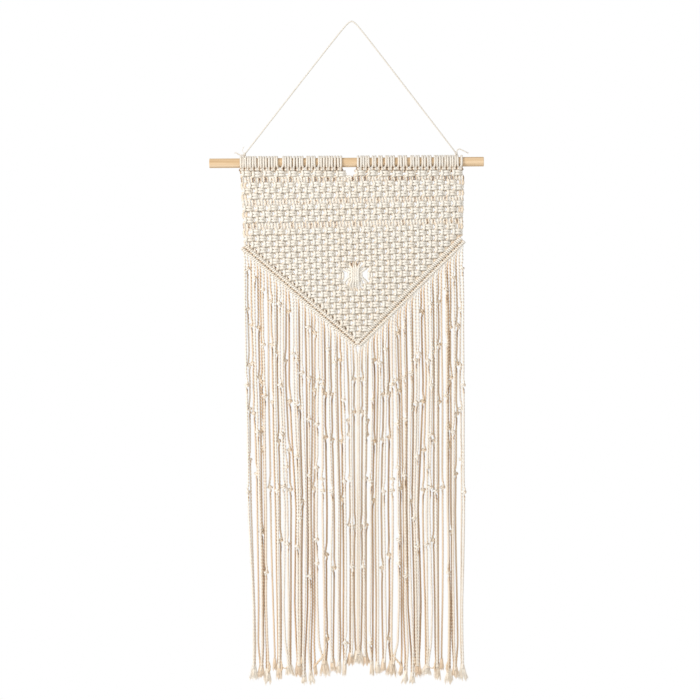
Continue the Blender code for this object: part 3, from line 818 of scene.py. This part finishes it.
def route_border(route, cord, jitter):
    """Two double half hitches, one on each of the border's bars."""
    (x, z), along, up = border_frame(cord)
    towards = 1 if cord < HALF else -1
    wide = WIDE_BAR if cord > HALF + 3 else 0.0
    steps = int(WRAP_TURNS * WRAP_STEPS)
    for bar in (BAR_OFFSET + wide, -BAR_OFFSET):
        reach = WRAP_ACROSS + (wide if bar > 0 else 0.0)
        dark = jitter.uniform(0.4, 0.8)
        for step in range(steps + 1):
            turn = math.tau * step / WRAP_STEPS
            # Painted shade darkens the end of a wrap between the bars, and the wide bar's upper edge
            inner = bar * (step / steps - 0.5) > INNER_FROM * BAR_OFFSET
            upper = wide > 0 and bar > 0 and math.cos(turn) > UPPER_FROM
            advance = (step / WRAP_STEPS - WRAP_TURNS / 2) * 2 * WRAP_ADVANCE
            advance = max(min(advance, ADVANCE_MOST), -ADVANCE_MOST) * towards
            across = bar + reach * math.cos(turn)
            route.to(
                "border",
                x + along[0] * advance + up[0] * across,
                WORK_Y + WRAP_DEEP * math.sin(turn),
                z + along[1] * advance + up[1] * across,
                radius=BORDER_RADIUS,
                tone=dark if inner or upper else None,
            )


# ---------------------------------------------------------------- the fringe

# The strands of the left half, outermost first: x in pixels at the heights below, the layer
# (-1 in front, 1 behind) and the tone, which holds painted shade: the strands behind are browner.
# The right half mirrors them, drawn in towards its V.
# RIGHT_SCALE says how much nearer to the middle, MIRROR_X, it has them at each height.
STRAND_LEVELS = (300.0, 380.0, 510.0, 605.0, 655.0)
RIGHT_SCALE = (0.9225, 0.94, 0.965, 0.99, 1.0)
MIRROR_X = 358.2
STRANDS = (
    ((244.6, 246.5, 248.8, 253.2, 254.0), -1, 0.0),
    ((247.7, 249.6, 250.9, 254.6, 255.5), 1, 0.15),
    ((251.1, 253.4, 257.4, 258.4, 258.4), 1, 0.5),
    ((254.2, 256.0, 260.1, 262.0, 262.6), -1, 0.1),
    ((258.0, 259.9, 261.9, 263.4, 263.6), 1, 0.6),
    ((260.4, 262.2, 264.8, 265.0, 266.6), 1, 0.8),
    ((262.6, 264.1, 265.8, 266.2, 267.6), -1, 0.2),
    ((268.0, 268.7, 270.7, 272.9, 274.7), 1, 0.4),
    ((271.0, 272.5, 275.2, 277.4, 277.9), 1, 0.6),
    ((274.2, 274.8, 277.5, 279.0, 279.2), -1, 0.0),
    ((276.7, 277.5, 280.2, 280.8, 281.2), 1, 0.6),
    ((279.8, 279.8, 284.8, 283.6, 286.0), -1, 0.0),
    ((282.8, 282.8, 287.3, 288.8, 288.3), -1, 0.1),
    ((286.0, 285.9, 291.3, 290.6, 290.7), 1, 0.6),
    ((288.0, 289.0, 295.9, 294.8, 296.4), 1, 0.9),
    ((292.8, 293.6, 297.9, 297.4, 298.4), -1, 0.0),
    ((296.8, 296.6, 300.2, 299.8, 299.8), -1, 0.1),
    ((299.2, 299.4, 302.3, 301.6, 301.4), 1, 0.7),
    ((301.8, 301.6, 306.0, 304.6, 303.2), -1, 0.0),
    ((305.1, 306.3, 307.9, 307.7, 305.2), 1, 0.8),
    ((308.3, 308.8, 309.6, 310.4, 307.8), -1, 0.1),
    ((311.5, 312.6, 311.2, 312.6, 311.2), 1, 0.6),
    ((314.7, 314.8, 314.2, 314.5, 314.2), 1, 0.6),
    ((317.9, 318.0, 316.6, 317.2, 319.0), -1, 0.1),
    ((321.1, 322.2, 322.6, 324.2, 325.1), -1, 0.2),
    ((324.3, 325.0, 326.8, 326.6, 327.8), 1, 0.9),
    ((327.5, 328.2, 331.8, 330.6, 330.4), -1, 0.0),
    ((330.7, 331.0, 334.3, 333.9, 333.4), 1, 0.6),
    ((333.9, 334.9, 338.3, 337.9, 338.3), -1, 0.0),
    ((337.0, 337.0, 340.4, 340.2, 340.8), 1, 0.5),
    ((340.2, 340.5, 343.2, 343.4, 343.3), 1, 0.9),
    ((343.4, 343.6, 345.4, 346.0, 346.8), -1, 0.0),
    ((346.6, 348.4, 350.3, 350.2, 350.2), 1, 0.5),
    ((349.8, 350.6, 351.9, 352.4, 352.4), -1, 0.0),
    ((353.0, 354.0, 354.4, 354.4, 355.2), 1, 0.5),
    ((356.1, 357.6, 357.3, 357.2, 358.0), -1, 0.1),
)

# Overhand knots that tie neighbouring strands of the left half, in pixels
FRINGE_KNOTS = (
    (246.9, 268.3), (254.9, 277.5), (263.0, 289.7), (271.4, 301.2), (278.3, 303.5), (289.0, 311.2),
    (308.0, 327.2), (315.7, 333.0), (328.7, 349.1), (334.9, 362.9), (341.8, 359.8),
    (246.9, 308.9), (251.5, 325.0), (259.0, 327.2), (263.0, 344.8), (272.0, 344.5), (278.3, 352.0),
    (284.4, 360.6), (293.3, 353.5), (296.6, 359.8), (302.7, 372.8), (310.4, 377.4), (319.6, 379.7),
    (315.0, 390.4), (323.4, 384.3), (325.7, 393.5), (332.6, 394.3), (342.5, 399.6), (354.0, 379.0),
    (248.4, 365.2), (253.8, 363.7), (258.4, 377.4), (260.7, 382.0), (246.9, 385.1), (265.2, 395.8),
    (272.9, 401.9), (281.3, 385.1), (289.7, 401.2), (296.6, 402.7), (300.4, 407.3), (308.1, 419.1),
    (316.5, 424.1), (325.7, 437.1), (331.8, 439.4), (341.8, 441.0), (347.1, 420.3), (349.4, 434.8),
    (354.0, 411.9), (249.2, 408.8), (253.8, 413.4), (263.0, 427.9), (259.0, 431.8), (282.0, 434.0),
    (277.5, 441.0), (263.0, 447.7), (250.0, 459.5), (290.1, 450.0), (296.6, 456.0), (286.7, 466.8),
    (256.8, 473.7), (309.6, 475.2), (316.5, 467.5), (320.3, 479.0), (350.2, 478.3), (344.8, 481.3),
    (269.8, 487.4), (248.0, 492.0), (278.3, 490.5), (283.6, 486.7), (290.5, 489.7), (313.5, 488.2),
    (324.2, 490.5), (331.8, 491.3), (341.8, 499.7), (302.7, 501.2), (300.4, 518.0), (354.8, 526.5),
    (349.4, 525.0), (261.4, 531.8), (282.1, 540.2), (288.2, 544.1), (296.6, 546.3), (316.5, 539.5),
    (326.5, 554.8), (317.9, 563.3), (333.7, 567.9), (352.7, 566.6), (266.9, 572.4), (310.0, 575.8),
    (326.2, 638.8), (345.3, 643.0),
)  # fmt: skip
# The least distance in pixels between a strand's knots, and from its root to the first level used
KNOT_SPACE = 9.0
ROOT_SPACE = 25
# How far apart a strand's other places are, and how far above and below a knot there are none
STOP_SPACE = 9.0
KNOT_ABOVE, KNOT_BELOW = 5.5, 8.5
# How much browner the strands get towards their ends, and the heights between which they do
BROWNER = 0.42
LATE_FROM, LATE_TO = 480.0, 650.0
# Where the strands start to draw together above their tufts
GATHER_FROM = 640.0
# How far above and below it a knot pulls its strand, and by how much at most, in pixels
KNOT_PULL = 16.0
KNOT_REACH = 0.35
# How much painted shade darkens the hollows on a strand's right side
STRAND_SHADE = 1.1
# The painted shade in a fringe knot's hollows and on the strand below it, and how far below its
# middle the strand is straight again
KNOT_SHADE = 1.7
KNOT_FOOT = 4.6
# An overhand knot in a strand, as (x, y, z) from its middle
OVERHAND = (
    (-1.1, -0.8, 3.6), (-0.5, -2.3, 1.3), (1.9, -1.7, -0.3), (2.7, 0.6, -0.1), (1.5, 2.3, 1.2),
    (-1.2, 1.9, 1.7), (-2.7, 0.0, 0.9), (-2.1, -2.0, -0.6), (-0.1, -2.3, -2.0), (0.9, -0.8, -3.8),
)  # fmt: skip
OVERHAND_RADIUS = 1.9

# Tufts of the left half: its strands, tip, height where it starts (pixels), half widths there and
# at the tip, and tone
TUFTS = (
    ((0, 1), (253.6, 682.0), 667.0, 1.6, 4.6, 0.2),
    ((2, 3, 4), (261.2, 678.8), 669.0, 2.0, 4.0, 0.7),
    ((5, 6), (267.6, 685.2), 671.0, 2.2, 3.6, 0.35),
    ((7,), (274.8, 671.2), 661.0, 0.8, 1.9, 0.75),
    ((8, 9, 10), (279.0, 681.4), 666.0, 2.4, 2.8, 0.5),
    ((11, 12, 13), (290.6, 676.8), 667.0, 2.2, 4.8, 0.3),
    ((14, 15, 16, 17), (299.2, 678.2), 664.5, 2.8, 4.0, 0.75),
    ((18, 19), (304.3, 685.0), 675.0, 1.3, 2.7, 0.3),
    ((20, 21), (312.0, 685.2), 673.0, 1.2, 3.2, 0.25),
    ((22,), (315.8, 676.6), 666.0, 0.7, 1.8, 0.8),
    ((23, 24, 25), (325.0, 678.0), 663.0, 2.8, 5.0, 0.55),
    ((26, 27), (333.3, 673.4), 661.0, 1.7, 2.6, 0.65),
    ((28, 29), (338.7, 675.2), 664.0, 1.6, 2.6, 0.4),
    ((30, 31), (344.3, 677.2), 663.0, 1.3, 1.8, 0.45),
    ((32, 33), (350.0, 666.8), 655.0, 1.7, 3.2, 0.75),
    ((34, 35), (356.6, 664.8), 653.0, 2.1, 3.8, 0.35),
)
FIBRES_PER_TUFT = 110
# How much wider than its half width at the tip a tuft's fibres reach
TUFT_FLARE = 1.25
CORE_FIBRES = 20
FIBRE_RADIUS = 0.3
FIBRE_STEPS = 6
CORE_RADIUS = 1.0
# Loosened bights beside the tufts: points as (x, y, radius in millimetres), in pixels
BIGHTS = (
    ((259.6, 664.0, 0.9), (261.4, 664.9, 1.1), (263.2, 663.2, 0.9)),
    ((301.9, 655.8, 0.5), (301.6, 659.0, 1.3), (301.4, 662.0, 1.8), (301.6, 663.8, 1.0)),
    ((324.6, 653.0, 1.3), (320.8, 658.6, 1.8), (316.6, 663.6, 2.0), (313.2, 668.2, 1.4)),
    ((268.6, 661.0, 1.0), (269.6, 665.0, 2.0), (269.7, 669.0, 2.0), (268.7, 672.5, 1.0)),
    ((280.9, 659.5, 1.0), (281.6, 664.5, 1.9), (281.9, 668.5, 2.0), (280.6, 671.5, 1.2)),
    ((281.9, 666.2, 1.0), (284.2, 668.0, 1.0), (286.4, 667.6, 1.0), (288.6, 665.4, 1.0)),
    ((314.4, 667.6, 0.9), (315.4, 671.0, 0.9), (316.8, 673.6, 0.8), (316.2, 675.8, 0.6)),
)
BIGHT_TONE = 0.6
BIGHT_Y = WORK_Y - 2.6


def hand_x(hand, x, y):
    """A pixel place of the left half, or its mirrored place in the right half."""
    if hand < 0:
        return x
    return MIRROR_X + (MIRROR_X - x) * float(np.interp(y, STRAND_LEVELS, RIGHT_SCALE))


def strand_root(hand, number):
    """Where a strand leaves the border, in pixels."""
    (x, z), _, _ = border_frame(number if hand < 0 else CORDS - 1 - number)
    return x / MM_PER_PIXEL + ORIGIN_PIXEL[0], ORIGIN_PIXEL[1] - z / MM_PER_PIXEL


def base_x(hand, number, y):
    """Where a strand hangs at height y before any knot pulls it, in pixels."""
    root_x, root_y = strand_root(hand, number)
    levels, places = [root_y], [root_x]
    for level, x in zip(STRAND_LEVELS, STRANDS[number][0]):
        if level > root_y + ROOT_SPACE:
            levels.append(level)
            places.append(hand_x(hand, x, level))
    return float(np.interp(y, levels, places))


def share_knots(hand):
    """Gives each fringe knot to the nearest strand that is free at its height."""
    taken = {number: [] for number in range(len(STRANDS))}
    for x, y in sorted(FRINGE_KNOTS, key=lambda knot: knot[1]):
        x = hand_x(hand, x, y)
        for number in sorted(taken, key=lambda number: abs(base_x(hand, number, y) - x))[:3]:
            _, root_y = strand_root(hand, number)
            if y > root_y + 8 and all(abs(y - other[1]) > KNOT_SPACE for other in taken[number]):
                taken[number].append((x, y))
                break
    return taken


def tuft_of(number):
    """The row of TUFTS that a strand belongs to."""
    for tuft in TUFTS:
        if number in tuft[0]:
            return tuft
    raise ValueError(f"strand {number} has no tuft")


def strand_end(hand, number):
    """Where a strand's twist ends and its fibres spread, in pixels across."""
    members, tip, _, top_half, _, _ = tuft_of(number)
    spread = (members.index(number) + 0.5) / len(members) * 2 - 1
    middle = mix(sum(STRANDS[member][0][-1] for member in members) / len(members), tip[0], 0.5)
    return hand_x(hand, middle, tip[1]) - hand * spread * top_half * 0.8


def route_strand(route, hand, number, knots, jitter):
    """A fringe strand from the border to the top of its tuft."""
    part = "fringe"
    _, layer, tone = STRANDS[number]
    _, root_y = strand_root(hand, number)
    start_y = tuft_of(number)[2]
    radius = FRINGE_RADIUS * (1.0 if layer < 0 else FRINGE_BEHIND)
    end_x = strand_end(hand, number)
    phase = jitter.uniform(0, math.tau)

    def strand_x(y):
        x = base_x(hand, number, y)
        x += 0.18 * math.sin(y / 23 + phase) * min(1, (y - root_y) / 30)
        x = mix(x, end_x, smooth_step((y - GATHER_FROM) / (start_y - GATHER_FROM)))
        for knot_x, knot_y in knots:
            near = max(0.0, 1 - abs(y - knot_y) / KNOT_PULL)
            pull = knot_x - base_x(hand, number, knot_y)
            x += max(min(pull, KNOT_REACH), -KNOT_REACH) * smooth_step(near)
        return x

    def depth(y):
        away = smooth_step((y - root_y - 6) / 24)
        return WORK_Y + layer * LAYER_Y * away + 0.5 * math.sin(y / 31 + phase * 2)

    stops = [(y, True) for _, y in knots]
    for y in np.arange(root_y + 11, start_y - 3, STOP_SPACE):
        if not any(-KNOT_ABOVE <= y - knot_y <= KNOT_BELOW for _, knot_y in knots):
            stops.append((y, False))
    stops.append((start_y + 1.5, False))
    for y, is_knot in sorted(stops):
        x, z = place(strand_x(y), y)
        if not is_knot:
            late = smooth_step((y - LATE_FROM) / (LATE_TO - LATE_FROM))
            browner = BROWNER * (0.25 + tone * 0.8) * late
            shade = STRAND_SHADE * (1 - 0.5 * late)
            route.to(part, x, depth(y), z, radius * (1 - 0.06 * late), min(tone + browner, 1.0), shade)
            continue
        turned = jitter.choice((-1, 1))
        size = jitter.uniform(0.95, 1.25)
        # Painted shade in the knot's hollows, and painted shadow on the strand just below it
        for dx, dy, dz in OVERHAND:
            at = (x + dx * turned * size, depth(y) + dy * size, z + dz * size)
            route.to(part, *at, OVERHAND_RADIUS, tone * 0.4, KNOT_SHADE)
        below = y + KNOT_FOOT * size
        x, z = place(strand_x(below), below)
        shade = jitter.uniform(0.8, 1.8) * KNOT_SHADE
        route.to(part, x, depth(below), z, radius=radius, tone=tone, shade=shade)


# ---------------------------------------------------------------- building the cords

# The colours for tones of 0, 0.5 and 1, and how strong the sheen is
cotton = cotton_material("cotton_cord", CREAM, TAN, BROWN, 0.25)
fringe_cotton = cotton_material(
    "cotton_fringe",
    (1.0, 0.995, 0.955), (0.92, 0.765, 0.575), (0.8, 0.55, 0.33), 0.3, groove_share=0.5, side_shade_share=0.0,
)  # fmt: skip
border_cotton = cotton_material(
    "cotton_border", CREAM, TAN, BROWN, 0.25, groove_share=0.25, side_shade_share=0.5
)
head_cotton = cotton_material("cotton_heading", (0.82, 0.78, 0.71), TAN, BROWN, 0.25)
tuft_cotton = cotton_material(
    "cotton_tuft",
    (1.0, 0.96, 0.88), (0.96, 0.83, 0.67), (0.82, 0.6, 0.4), 0.4, groove_share=0.0, side_shade_share=0.0,
)  # fmt: skip
twine_cotton = cotton_material(
    "cotton_twine",
    (0.84, 0.81, 0.75), (0.72, 0.64, 0.53), (0.5, 0.4, 0.28), 0.15, plies=2, side_shade_share=0.3,
)  # fmt: skip

# Each part of the cords' ways: its pieces, the step along it, the depth of its grooves, its look
PARTS = {
    "heading": ("larks_heads", 1.4, 0.04, head_cotton),
    "panel": ("knots", 1.45, 0.08, cotton),
    "border": ("border", 1.3, 0.06, border_cotton),
    "fringe": ("strands", 1.6, 0.34, fringe_cotton),
}
STEPS = {part: step for part, (_, step, _, _) in PARTS.items()}
shapes = {
    (part, hand): Tubes(f"{kind}_{side}", ply_depth=depth)
    for part, (kind, _, depth, _) in PARTS.items()
    for hand, side in HANDS.items()
}
fringe_knots = {hand: share_knots(hand) for hand in HANDS}
for cord in range(CORDS):
    jitter = random.Random(1000 + cord)
    route = Route(PANEL_RADIUS, jitter.uniform(0.0, 0.14))
    route_head(route, cord, jitter)
    route_panel(route, cord, jitter)
    route_border(route, cord, jitter)
    hand = -1 if cord < HALF else 1
    number = cord if hand < 0 else CORDS - 1 - cord
    route_strand(route, hand, number, fringe_knots[hand][number], jitter)
    runs = stretches(route, STEPS)
    whole = np.vstack([runs[0][1]] + [samples[1:] for _, samples in runs[1:]])
    tangents, normals = frames_along(whole[:, :3])
    along = distances(whole)
    at = 0
    for index, (part, samples) in enumerate(runs):
        run = slice(at, at + len(samples))
        caps = (index == 0, index == len(runs) - 1)
        shapes[part, hand].add(whole[run], tangents[run], normals[run], along[at], caps)
        at = run.stop - 1

# The bars' own bearers, hidden but for glimpses between the hitches; a dark thread between the bars and
# one laid behind the border's top edge, which are painted shadow in the gaps there: as
# (distance up from the border's middle line, depth, radius, tone)
BEARERS = (
    (BAR_OFFSET, 0.0, 1.25, 0.5),
    (-BAR_OFFSET, 0.0, 1.25, 0.5),
    (0.0, 2.6, 1.2, 1.5),
    (7.9, 4.2, 1.7, 0.95),
)
for hand in HANDS:
    (x0, z0), (x1, z1), (along_x, along_z) = border_side(hand < 0)
    for up, deep, radius, tone in BEARERS:
        if hand > 0 and up > BAR_OFFSET:
            up += 2 * WIDE_BAR
        line = [
            (mix(x0, x1, share) - along_z * up, WORK_Y + deep, mix(z0, z1, share) + along_x * up)
            for share in (0.01, 0.33, 0.67, 0.99)
        ]
        shapes["border", hand].add_whole(radius, tone, line, 4.0)

# ---------------------------------------------------------------- tufts

tufts = {hand: Tubes(f"tufts_{side}", sides=3, plies=0) for hand, side in HANDS.items()}
for hand, shape in tufts.items():
    for index, (members, tip, start_y, top_half, tip_half, tone) in enumerate(TUFTS):
        jitter = random.Random(500 + index * 2 + hand)
        tip_x, tip_z = place(hand_x(hand, *tip), tip[1])
        for fibre in range(FIBRES_PER_TUFT):
            # A few thick bundles fill the middle, and single fibres lie round them
            core = fibre < CORE_FIBRES
            angle = jitter.uniform(0, math.tau)
            reach = math.sqrt(jitter.uniform(0, 0.55) if core else jitter.uniform(0.35, 1))
            across, deep = reach * math.cos(angle), reach * math.sin(angle)
            # Each fibre comes out of the strand that hangs above it
            order = (across + 1) / 2 * len(members)
            member = min(int(order), len(members) - 1)
            end_x, end_z = place(strand_end(hand, members[member]), start_y - 2.5)
            start_x = end_x - hand * (order - member - 0.5) * 2 * FRINGE_RADIUS * 0.9
            start_deep = deep * FRINGE_RADIUS * 0.95
            lean = 0.09 * math.sin(3 * angle + index) + 0.06 * math.sin(7 * across + index * 2)
            short = 0.97 - 0.14 * reach * reach - jitter.uniform(0, 0.16) - (0.12 if core else 0) + lean
            final_x = tip_x - hand * across * tip_half * TUFT_FLARE * MM_PER_PIXEL
            fibre_tone = min(max(tone + jitter.uniform(-0.15, 0.2), 0), 1)
            final_deep = deep * (1.2 + tip_half * 0.8)
            points = []
            for step in range(FIBRE_STEPS + 1):
                share = step / FIBRE_STEPS
                wave = 0.45 * math.sin(share * 5 + angle * 3) * share
                x = mix(start_x, final_x, share**1.35) + wave
                y = WORK_Y + mix(start_deep, final_deep, share) + wave * 0.5
                thin = FIBRE_RADIUS * mix(1.3, 0.6, share)
                radius = mix(0.8, 1.0, share) * CORE_RADIUS if core and step < FIBRE_STEPS else thin
                points.append((x, y, mix(end_z, tip_z, share * short), radius, fibre_tone))
            shape.add(np.array(points))

for hand in HANDS:
    for bight in BIGHTS:
        points = []
        for x_pixel, y_pixel, radius in bight:
            x, z = place(hand_x(hand, x_pixel, y_pixel), y_pixel)
            points.append((x, BIGHT_Y, z, radius))
        shapes["fringe", hand].add_whole(1.0, BIGHT_TONE, points, 1.4)

pieces = {tubes.name: tubes.build(PARTS[part][3]) for (part, _), tubes in shapes.items()}
for shape in tufts.values():
    pieces[shape.name] = shape.build(tuft_cotton)

STANDS_FOR = {
    "larks_heads_left": ("heading_left_end", "heading_left"),
    "larks_heads_right": ("heading_right", "heading_right_end"),
    "knots_left": ("panel",),
    "knots_right": ("panel",),
    "border_left": ("fringe_left",),
    "border_right": ("fringe_right",),
    "strands_left": ("fringe_left",),
    "strands_right": ("fringe_right",),
    "tufts_left": ("fringe_left",),
    "tufts_right": ("fringe_right",),
}
for name, piece in pieces.items():
    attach(piece, "root")
    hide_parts(*STANDS_FOR[name])

# ---------------------------------------------------------------- the dowel

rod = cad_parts["rod"]
pine = pine_material()
for slot in rod.material_slots:
    slot.material = pine
if not rod.material_slots:
    rod.data.materials.append(pine)

# ---------------------------------------------------------------- the hanging twine and its ties

TWINE_RADIUS = 1.15
TWINE_PITCH = 9.0
TWINE_TONE = 0.15
# The radius of the twine's bend over the nail
TWINE_BEND = 7.2
TWINE_STEPS = 48
TWINE_KNOT_RADIUS = 2.1
TWINE_CLEARANCE = 0.3
RING_REACH = (ROD_RADIUS + 0.3) / math.cos(math.pi / 20) + TWINE_RADIUS
# Each tie: where its ring is, its knot, and its free ends as a radius and places, in millimetres
TIES = {
    "hanger_tie_left": (
        -168.2,
        (-168.6, -208.4),
        (
            (1.15, ((-168.8, -209.6), (-173.1, -209.6), (-177.1, -208.6), (-181.0, -206.4))),
            (0.5, ((-168.8, -208.2), (-171.0, -204.6), (-171.6, -200.6), (-169.6, -196.4))),
        ),
    ),
    "hanger_tie_right": (
        165.4,
        (164.8, -206.8),
        ((1.0, ((164.8, -206.8), (166.6, -201.4), (169.4, -199.8), (173.6, -201.4), (181.4, -205.2))),),
    ),
}
# The places along a tie's ring and its coil, and how many make one turn
TIE_STEPS = 28
RING_STEPS = 24
COIL_STEPS = 9
COIL_REACH = 1.55
TIE_TONE = 0.2
TAIL_Y = -0.6
# Frayed fibres at the end of each tail that is thicker than this
FRAY_ENDS = 5
THIN_TAIL = 0.8
FRAY_RADIUS = 0.32
FRAY_TONE = 0.35


def twine_point(knot, share):
    """A point of the twine between the nail, at the origin, and a tie's knot."""
    fall = TWINE_RADIUS - knot[1]
    slope = math.sqrt((fall + TWINE_BEND) ** 2 - TWINE_BEND**2) / abs(knot[0])
    x = knot[0] * share
    return x, 0.0, TWINE_RADIUS - (math.hypot(slope * x, TWINE_BEND) - TWINE_BEND)


left_knot, right_knot = TIES["hanger_tie_left"][1], TIES["hanger_tie_right"][1]
cut = 1 - (TWINE_KNOT_RADIUS + TWINE_CLEARANCE) / math.hypot(*left_knot)
shares = [cut * (step / TWINE_STEPS) ** 1.5 for step in range(1, TWINE_STEPS + 1)]
twine_points = [twine_point(left_knot, share) for share in reversed(shares)]
twine_points += [twine_point(left_knot, 0.0)] + [twine_point(right_knot, share) for share in shares]
twine_rows = [(*point, TWINE_RADIUS * 1.08, TWINE_TONE) for point in twine_points]
twine_samples = resample(np.array(twine_rows), 1.3)
twine = Tubes("hanging_twine", sides=6, plies=2, pitch=TWINE_PITCH, ply_depth=0.08)
twine.add(twine_samples, caps=(True, True))
twine_piece = twine.build(twine_cotton)
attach(twine_piece, "root")
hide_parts("hanger_cord")

for name, (ring_x, knot, tails) in TIES.items():
    tie = Tubes(f"{name}_twine", sides=6, plies=2, pitch=TWINE_PITCH, ply_depth=0.15)
    # The turn round the dowel, then three times round the standing twine, and out along a tail
    ring, coil = [], []
    for step in range(TIE_STEPS + 1):
        turn = math.tau * step / RING_STEPS
        x = ring_x + 0.5 * math.sin(turn / 2) + (0.5 if step > RING_STEPS else 0)
        ring.append((x, -RING_REACH * math.sin(turn), rod_z(ring_x) + RING_REACH * math.cos(turn)))
        turn = math.tau * step / COIL_STEPS
        swell = COIL_REACH * math.sin(math.pi * min(max(step / TIE_STEPS, 0.12), 0.88))
        z = knot[1] + 2.4 - 5.4 * step / TIE_STEPS
        coil.append((knot[0] + swell * math.cos(turn), swell * math.sin(turn) * 1.1, z))
    tie.add_whole(TWINE_RADIUS, TIE_TONE, ring, 1.2)
    tie.add_whole(TWINE_RADIUS * 0.9, TIE_TONE, coil, 0.9)
    frays = random.Random(len(tails))
    for radius, tail in tails:
        line = [(x, TAIL_Y if index else 0.0, z) for index, (x, z) in enumerate(tail)]
        tie.add_whole(radius, TIE_TONE, line, 1.0)
        # Its frayed end
        (x0, z0), (x1, z1) = tail[-2:]
        size = math.hypot(x1 - x0, z1 - z0)
        along_x, along_z = (x1 - x0) / size, (z1 - z0) / size
        for _ in range(FRAY_ENDS if radius > THIN_TAIL else 0):
            turn = frays.uniform(-0.6, 0.6)
            reach = frays.uniform(2.2, 4.2)
            dx = along_x * math.cos(turn) - along_z * math.sin(turn)
            dz = along_x * math.sin(turn) + along_z * math.cos(turn)
            fray = [
                (x1 + dx * reach * share, TAIL_Y + turn * share, z1 + dz * reach * share)
                for share in (-0.3, 0.3, 1.0)
            ]
            tie.add_whole(FRAY_RADIUS, FRAY_TONE, fray, 1.0)
    tie_piece = tie.build(twine_cotton)
    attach(tie_piece, "root")
    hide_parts(name)

# ---------------------------------------------------------------- floor, light and camera

FLOOR_Z = -1.75
# How strongly the white studio lights the work. It is seen at full strength.
LIGHTING = 0.7
CAMERA_DISTANCE = 4.0
SENSOR = 36.0
VIEW_MIDDLE = place(350, 350)
VIEW_SIDE = 700 * MM_PER_PIXEL * MM

floor_mesh = bpy.data.meshes.new("floor")
floor_corners = [(x, y, FLOOR_Z) for x, y in ((-4, -5), (4, -5), (4, 4), (-4, 4))]
floor_mesh.from_pydata(floor_corners, [], [(0, 1, 2, 3)])
floor = bpy.data.objects.new("floor", floor_mesh)
bpy.context.scene.collection.objects.link(floor)
floor_material, floor_nodes, floor_shader = new_material("floor")
floor_nodes.feed(floor_shader, {"Base Color": (0.85, 0.85, 0.84, 1), "Roughness": 0.9})
floor_mesh.materials.append(floor_material)

scene = bpy.context.scene
scene.view_settings.view_transform = "Standard"
world = bpy.data.worlds.new("studio")
scene.world = world
world.use_nodes = True
world.node_tree.nodes.clear()
studio = Nodes(world.node_tree)
lighting = studio.node("Background", 0, {"Color": (1, 1, 1, 1), "Strength": LIGHTING})
seen = studio.node("Background", 0, {"Color": (1, 1, 1, 1), "Strength": 1.0})
ray = studio.node("LightPath", "Is Camera Ray")
which = studio.node("MixShader", 0, {"Fac": ray, 1: lighting, 2: seen})
studio.feed(world.node_tree.nodes.new("ShaderNodeOutputWorld"), {"Surface": which})


def area_light(name, place_at, aim, side, power):
    light = bpy.data.lights.new(name, "AREA")
    light.shape = "SQUARE"
    light.size = side
    light.energy = power
    lamp = bpy.data.objects.new(name, light)
    lamp.location = place_at
    lamp.rotation_euler = (Vector(aim) - Vector(place_at)).to_track_quat("-Z", "Y").to_euler()
    scene.collection.objects.link(lamp)


area_light("key", (-2.3, -2.1, 0.5), (0, 0, -0.5), 1.0, 68)
area_light("fill", (0.9, -3.2, 0.1), (0, 0, -0.5), 1.4, 18)

camera_data = bpy.data.cameras.new("camera")
camera_data.sensor_width = SENSOR
camera_data.lens = SENSOR * CAMERA_DISTANCE / VIEW_SIDE
camera_data.clip_end = 50
camera = bpy.data.objects.new("camera", camera_data)
camera.location = (VIEW_MIDDLE[0] * MM, WORK_Y * MM - CAMERA_DISTANCE, VIEW_MIDDLE[1] * MM)
camera.rotation_euler = (math.radians(90), 0, 0)
scene.collection.objects.link(camera)
scene.camera = camera
